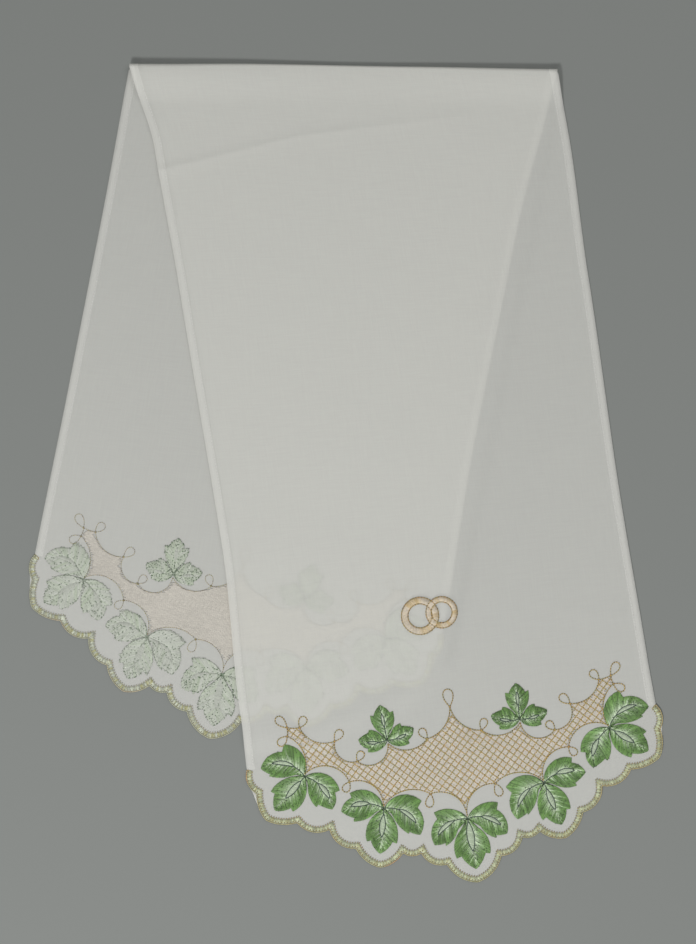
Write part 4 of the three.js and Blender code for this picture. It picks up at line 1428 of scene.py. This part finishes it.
def loop_path(loop):
    """A teardrop loop: sideways by sine times half sine, and up by one less cosine, halved."""
    neck, middle = np.array(loop["neck"], float), np.array(loop["middle"], float)
    ahead = middle - neck
    length = math.hypot(*ahead) + loop["half"]
    ahead = ahead / math.hypot(*ahead)
    aside = np.array([-ahead[1], ahead[0]])
    turns = np.linspace(0, 2 * np.pi, LOOP_POINTS)
    side = loop["half"] * LOOP_SWELL * np.sin(turns) * np.sin(turns / 2)
    up = length * (1 - np.cos(turns)) / 2
    return neck + aside * side[:, None] + ahead * up[:, None]


def all_loops():
    """The loop on the middle line and those of both halves"""
    left = [{**loop, **{key: loop[key] * MIRROR for key in ("neck", "middle")}} for loop in LOOPS]
    return [AXIS_LOOP, *LOOPS, *left]


def crossings(outline, pitch):
    """Where the lattice's lines cross: a square grid, turned by 45 degrees, inside the field."""
    reach = np.abs(outline).max() * LATTICE["beyond"]
    lines = np.arange(-reach, reach, pitch)
    one, other = (part.ravel() for part in np.meshgrid(lines, lines))
    spots = np.stack([one - other, one + other], -1) * math.sqrt(0.5)
    return spots[inside(spots, outline)]


# Thread colours as parts of the towel's colours
LATTICE_THREADS = {
    "ground": {"peach": 1},
    "wrong ground": {"peach": 0.8, "bobbin": 0.16},
    "line": ({"gold": 1}, {"gold": 1.1}, {"olive": 1.1}),
    "wrong line": ({"gold": 0.7, "bobbin": 0.3}, {"olive": 1}, {"brown": 1}),
    "crossing": ({"brown": 1}, {"olive": 1}),
    "dot": ({"brown": 1}, {"brown": 0.7}, {"olive": 0.8}),
    "knot": ({"orange": 1}, {"gold": 1}),
}
RING_THREADS = {
    "satin": {"peach": 0.98, "gold": 0.2},
    "line": ({"gold": 1}, {"gold": 0.85}, {"gold": 0.5, "orange": 0.5}),
    "dot": ({"brown": 1}, {"brown": 0.6}, {"olive": 0.8}),
}


def blended(colours, *mixtures):
    """Thread colours, each mixed of the towel's colours by their shares."""
    return [sum(share * colours[name] for name, share in mixture.items()) for mixture in mixtures]


# The knots where the loops' threads cross: how many stitches, how far off and how long
KNOT = {"count": 3, "stray": 0.6, "reach": 1.2}


def lattice_stitches(layer, sizes, colours, right_side):
    """The ground, the paired lines and their crossings, and round them arcs, loops and knots.
    On the wrong side the paired lines and crossings don't show."""
    arcs = field_arcs()
    outline = np.concatenate([points[:-1] for points in arcs])
    kind = "" if right_side else "wrong "
    batches = []

    def add(starts, ends, look, threads):
        tones = picked_threads(threads, len(starts), LATTICE_TONES)
        batches.append(lay(layer, starts, ends, LOOKS[look], sizes, tones))

    def threads_of(name):
        return blended(colours, *LATTICE_THREADS[name])

    (ground,) = blended(colours, LATTICE_THREADS[f"{kind}ground"])
    look = LOOKS["lattice ground"]
    starts, ends = hatch(outline, 0, LATTICE["pitch"], 0, look["stitch"], look["gap"])
    add(starts, ends, "lattice ground", [ground, ground * LATTICE["ground"]])
    if right_side:
        half, gap = LATTICE["apart"] / 2, LOOKS["lattice line"]["gap"]
        for direction in (45, -45):
            for aside in (-half, half):
                pair = hatch(outline, direction, sizes["lattice"], aside, sizes["running"], gap)
                add(*pair, "lattice line", threads_of("line"))
        spots = crossings(outline, sizes["lattice"])
        half = RANDOM.uniform(-LATTICE["dot"], LATTICE["dot"], spots.shape)
        add(spots - half, spots + half, "crossing", threads_of("crossing"))
    threads = threads_of(f"{kind}line")
    look, dot = LOOKS[f"{kind}arc"], LOOKS["arc dot"]
    for path in arcs + [loop_path(loop) for loop in all_loops()]:
        batches.append(run_along(layer, path, look, sizes, threads))
        if right_side:
            pair = running(path, dot["stitch"], dot["gap"])
            add(*pair, "arc dot", threads_of("dot"))
    for loop in all_loops():
        shape = (KNOT["count"], 2)
        spots = np.array(loop["neck"]) + RANDOM.uniform(-KNOT["stray"], KNOT["stray"], shape)
        ends = spots + RANDOM.uniform(-KNOT["reach"], KNOT["reach"], shape)
        add(spots, ends, "knot", threads_of("knot") if right_side else threads)
    return batches


# Satin of a ring: how far apart its stitches are at the outer rim, in threads, how they slant,
# how far they stop short of both rims, how their shade varies, and how much higher the second
# ring lies, which crosses the first. Gold drifts in, between a least and a most share.
RING_SATIN = {"pitch": 1.2, "slant": 0.08, "short": 0.3, "spread": 0.08, "over": 0.1}
RING_GOLD = {"least": 0.1, "strength": 0.3, "most": 0.6, "drift": 9}


def ring_stitches(sizes, colours):
    batches = []
    (cream,) = blended(colours, RING_THREADS["satin"])
    lines, dots = (blended(colours, *RING_THREADS[name]) for name in ("line", "dot"))
    for number, ring in enumerate(RINGS):
        centre = np.array(ring["spot"])
        pitch = sizes["thread"] * RING_SATIN["pitch"]
        count = int(2 * math.pi * ring["outer"] / pitch)
        turns = np.linspace(0, 2 * np.pi, count, endpoint=False)
        ways, slanted = (
            np.stack([np.cos(turns + slant), np.sin(turns + slant)], -1)
            for slant in (0, RING_SATIN["slant"])
        )
        starts = centre + ways * (ring["inner"] + RING_SATIN["short"])
        ends = centre + slanted * (ring["outer"] - RING_SATIN["short"])
        golden = RING_GOLD["least"] + RING_GOLD["strength"] * wander(count, RING_GOLD["drift"])
        satin = mixed(cream, colours["gold"], np.clip(golden, 0, RING_GOLD["most"])[:, None])
        tones = jittered(1, count, RING_SATIN["spread"]) * satin
        look = LOOKS["ring satin"]
        lift = look["lift"] + RING_SATIN["over"] * number
        batches.append(lay(FRONT, starts, ends, {**look, "lift": lift}, sizes, tones))
        closed = np.concatenate([ways, ways[:1]])
        for radius in (ring["inner"], ring["outer"]):
            path = centre + closed * radius
            batches.append(run_along(FRONT, path, LOOKS["ring line"], sizes, lines))
            batches.append(run_along(FRONT, path, LOOKS["ring dot"], sizes, dots))
    return batches


# Soft studio light: an even world, and two area lights with their place and size in metres
# and their power in watts
WORLD_STRENGTH = 0.335
LIGHTS = (
    {"name": "window_light", "place": (-0.9, -2.1, 2.3), "size": 0.55, "power": 68},
    {"name": "fill_light", "place": (1.4, 1.6, 2.6), "size": 1.6, "power": 18},
)

# The floor reaches this far to each side, and lies a hair below the cloth
FLOOR_REACH = 20000
FLOOR_DROP = 0.05


class TOWEL_OT_stage(bpy.types.Operator):
    """Makes the camera, the floor and the soft light"""

    bl_idname = "towel.stage"
    bl_label = "Stage"

    def execute(self, context):
        colours = settings()[1]
        scene = context.scene
        scene.view_settings.view_transform = "Standard"
        camera = bpy.data.objects.new("camera", bpy.data.cameras.new("camera"))
        scene.collection.objects.link(camera)
        camera.location = (CAMERA_SPOT[0] * MM, CAMERA_SPOT[1] * MM, CAMERA_HEIGHT * MM)
        camera.data.sensor_width = SENSOR
        camera.data.lens = SENSOR * CAMERA_HEIGHT / (IMAGE_HEIGHT * MM_PER_PIXEL)
        scene.camera = camera
        scene.world = bpy.data.worlds.new("studio")
        scene.world.use_nodes = True
        background = scene.world.node_tree.nodes["Background"]
        background.inputs["Color"].default_value = (1, 1, 1, 1)
        background.inputs["Strength"].default_value = WORLD_STRENGTH
        for row in LIGHTS:
            data = bpy.data.lights.new(row["name"], "AREA")
            data.size = row["size"]
            data.energy = row["power"]
            light = bpy.data.objects.new(row["name"], data)
            light.location = row["place"]
            light.rotation_mode = "QUATERNION"
            light.rotation_quaternion = (-light.location).to_track_quat("-Z", "Y")
            scene.collection.objects.link(light)
        material, tree, shader = new_material("matt_grey_board")
        set_inputs(tree, shader, {"Base Color": (*colours["floor"], 1), "Roughness": 0.95})
        signs = np.array([(-1, -1), (1, -1), (1, 1), (-1, 1)])
        corners = np.column_stack([signs * FLOOR_REACH, np.full(4, -FLOOR_DROP)])
        floor = mesh_object("floor", corners, np.array([[0, 1, 2, 3]]), material)
        return {"FINISHED"}


class TOWEL_OT_cloth(bpy.types.Operator):
    """Makes the folded cloth with its hems and the stitching that holds them"""

    bl_idname = "towel.cloth"
    bl_label = "Cloth"

    def execute(self, context):
        sizes, colours = settings()
        cloth = build_cloth(sizes, colours)
        finish_piece(cloth, "cloth", "towel")
        stitching = build_hem_stitching(sizes, colours)
        finish_piece(stitching, "cloth")
        return {"FINISHED"}


class TOWEL_OT_leaves(bpy.types.Operator):
    """Makes the satin-stitched leaves of both ends"""

    bl_idname = "towel.leaves"
    bl_label = "Leaves"

    def execute(self, context):
        sizes, colours = settings()
        right = thread_material("green_rayon_thread", roughness=0.45, gloss=0.15)
        wrong = thread_material("pale_bobbin_thread", roughness=0.6, gloss=0.1, painted_sheen=0.08)
        for leaf in LEAVES:
            for layer, end, stitches, material, slot in (
                (FRONT, "front", leaf_stitches, right, "leaf_thread"),
                (BACK, "back", wrong_side_stitches, wrong, "leaf_thread_wrong_side"),
            ):
                node = f"{leaf['name']}_{end}"
                batches = stitches(layer, leaf, sizes, colours)
                piece = thread_object(f"{node}_stitches", batches, material)
                finish_piece(piece, slot, node)
        return {"FINISHED"}


class TOWEL_OT_edging(bpy.types.Operator):
    """Makes the satin edging of both scalloped ends"""

    bl_idname = "towel.edging"
    bl_label = "Edging"

    def execute(self, context):
        sizes, colours = settings()
        for layer, node, slot in (
            (FRONT, "edging_front", "edging_thread"),
            (BACK, "edging_back", "edging_thread_wrong_side"),
        ):
            batches = edging_stitches(layer, sizes, colours, layer is FRONT)
            material = thread_material(f"{node}_rayon_thread", roughness=0.5, gloss=0.15)
            finish_piece(thread_object(f"{node}_stitches", batches, material), slot, node)
        return {"FINISHED"}


class TOWEL_OT_lattice(bpy.types.Operator):
    """Makes the lattice between the leaves and the thread loops round it"""

    bl_idname = "towel.lattice"
    bl_label = "Lattice"

    def execute(self, context):
        sizes, colours = settings()
        for layer, name, painted_sheen in ((FRONT, "lattice_front", 0.12), (BACK, "lattice_back", 0.04)):
            material = thread_material(f"{name}_rayon_thread", 0.5, 0.15, painted_sheen)
            batches = lattice_stitches(layer, sizes, colours, layer is FRONT)
            finish_piece(thread_object(name, batches, material), "ring_thread")
        return {"FINISHED"}


class TOWEL_OT_rings(bpy.types.Operator):
    """Makes the joined rings"""

    bl_idname = "towel.rings"
    bl_label = "Rings"

    def execute(self, context):
        sizes, colours = settings()
        material = thread_material("straw_rayon_thread", roughness=0.45, gloss=0.15)
        piece = thread_object("rings_front_stitches", ring_stitches(sizes, colours), material)
        finish_piece(piece, "ring_thread", "rings_front")
        return {"FINISHED"}


OPERATORS = (
    TOWEL_OT_stage,
    TOWEL_OT_cloth,
    TOWEL_OT_leaves,
    TOWEL_OT_edging,
    TOWEL_OT_lattice,
    TOWEL_OT_rings,
)


class TOWEL_PT_panel(bpy.types.Panel):
    """Lists the towel's pieces, sizes and colours"""

    bl_idname = "TOWEL_PT_panel"
    bl_label = "Wedding towel"
    bl_space_type = "VIEW_3D"
    bl_region_type = "UI"
    bl_category = "Towel"

    def draw(self, context):
        for operator in OPERATORS:
            self.layout.operator(operator.bl_idname)
        scene = context.scene
        groups = ((scene.towel_sizes, TowelSizes), (scene.towel_colours, TowelColours))
        for group, kind in groups:
            for name in kind.__annotations__:
                self.layout.prop(group, name)


CLASSES = (TowelSizes, TowelColours, *OPERATORS, TOWEL_PT_panel)


def register():
    for item in CLASSES:
        bpy.utils.register_class(item)
    bpy.types.Scene.towel_sizes = bpy.props.PointerProperty(type=TowelSizes)
    bpy.types.Scene.towel_colours = bpy.props.PointerProperty(type=TowelColours)


def unregister():
    del bpy.types.Scene.towel_colours
    del bpy.types.Scene.towel_sizes
    for item in reversed(CLASSES):
        bpy.utils.unregister_class(item)


def main():
    register()
    for operator in OPERATORS:
        group, name = operator.bl_idname.split(".")
        getattr(getattr(bpy.ops, group), name)()


if __name__ == "__main__":
    main()
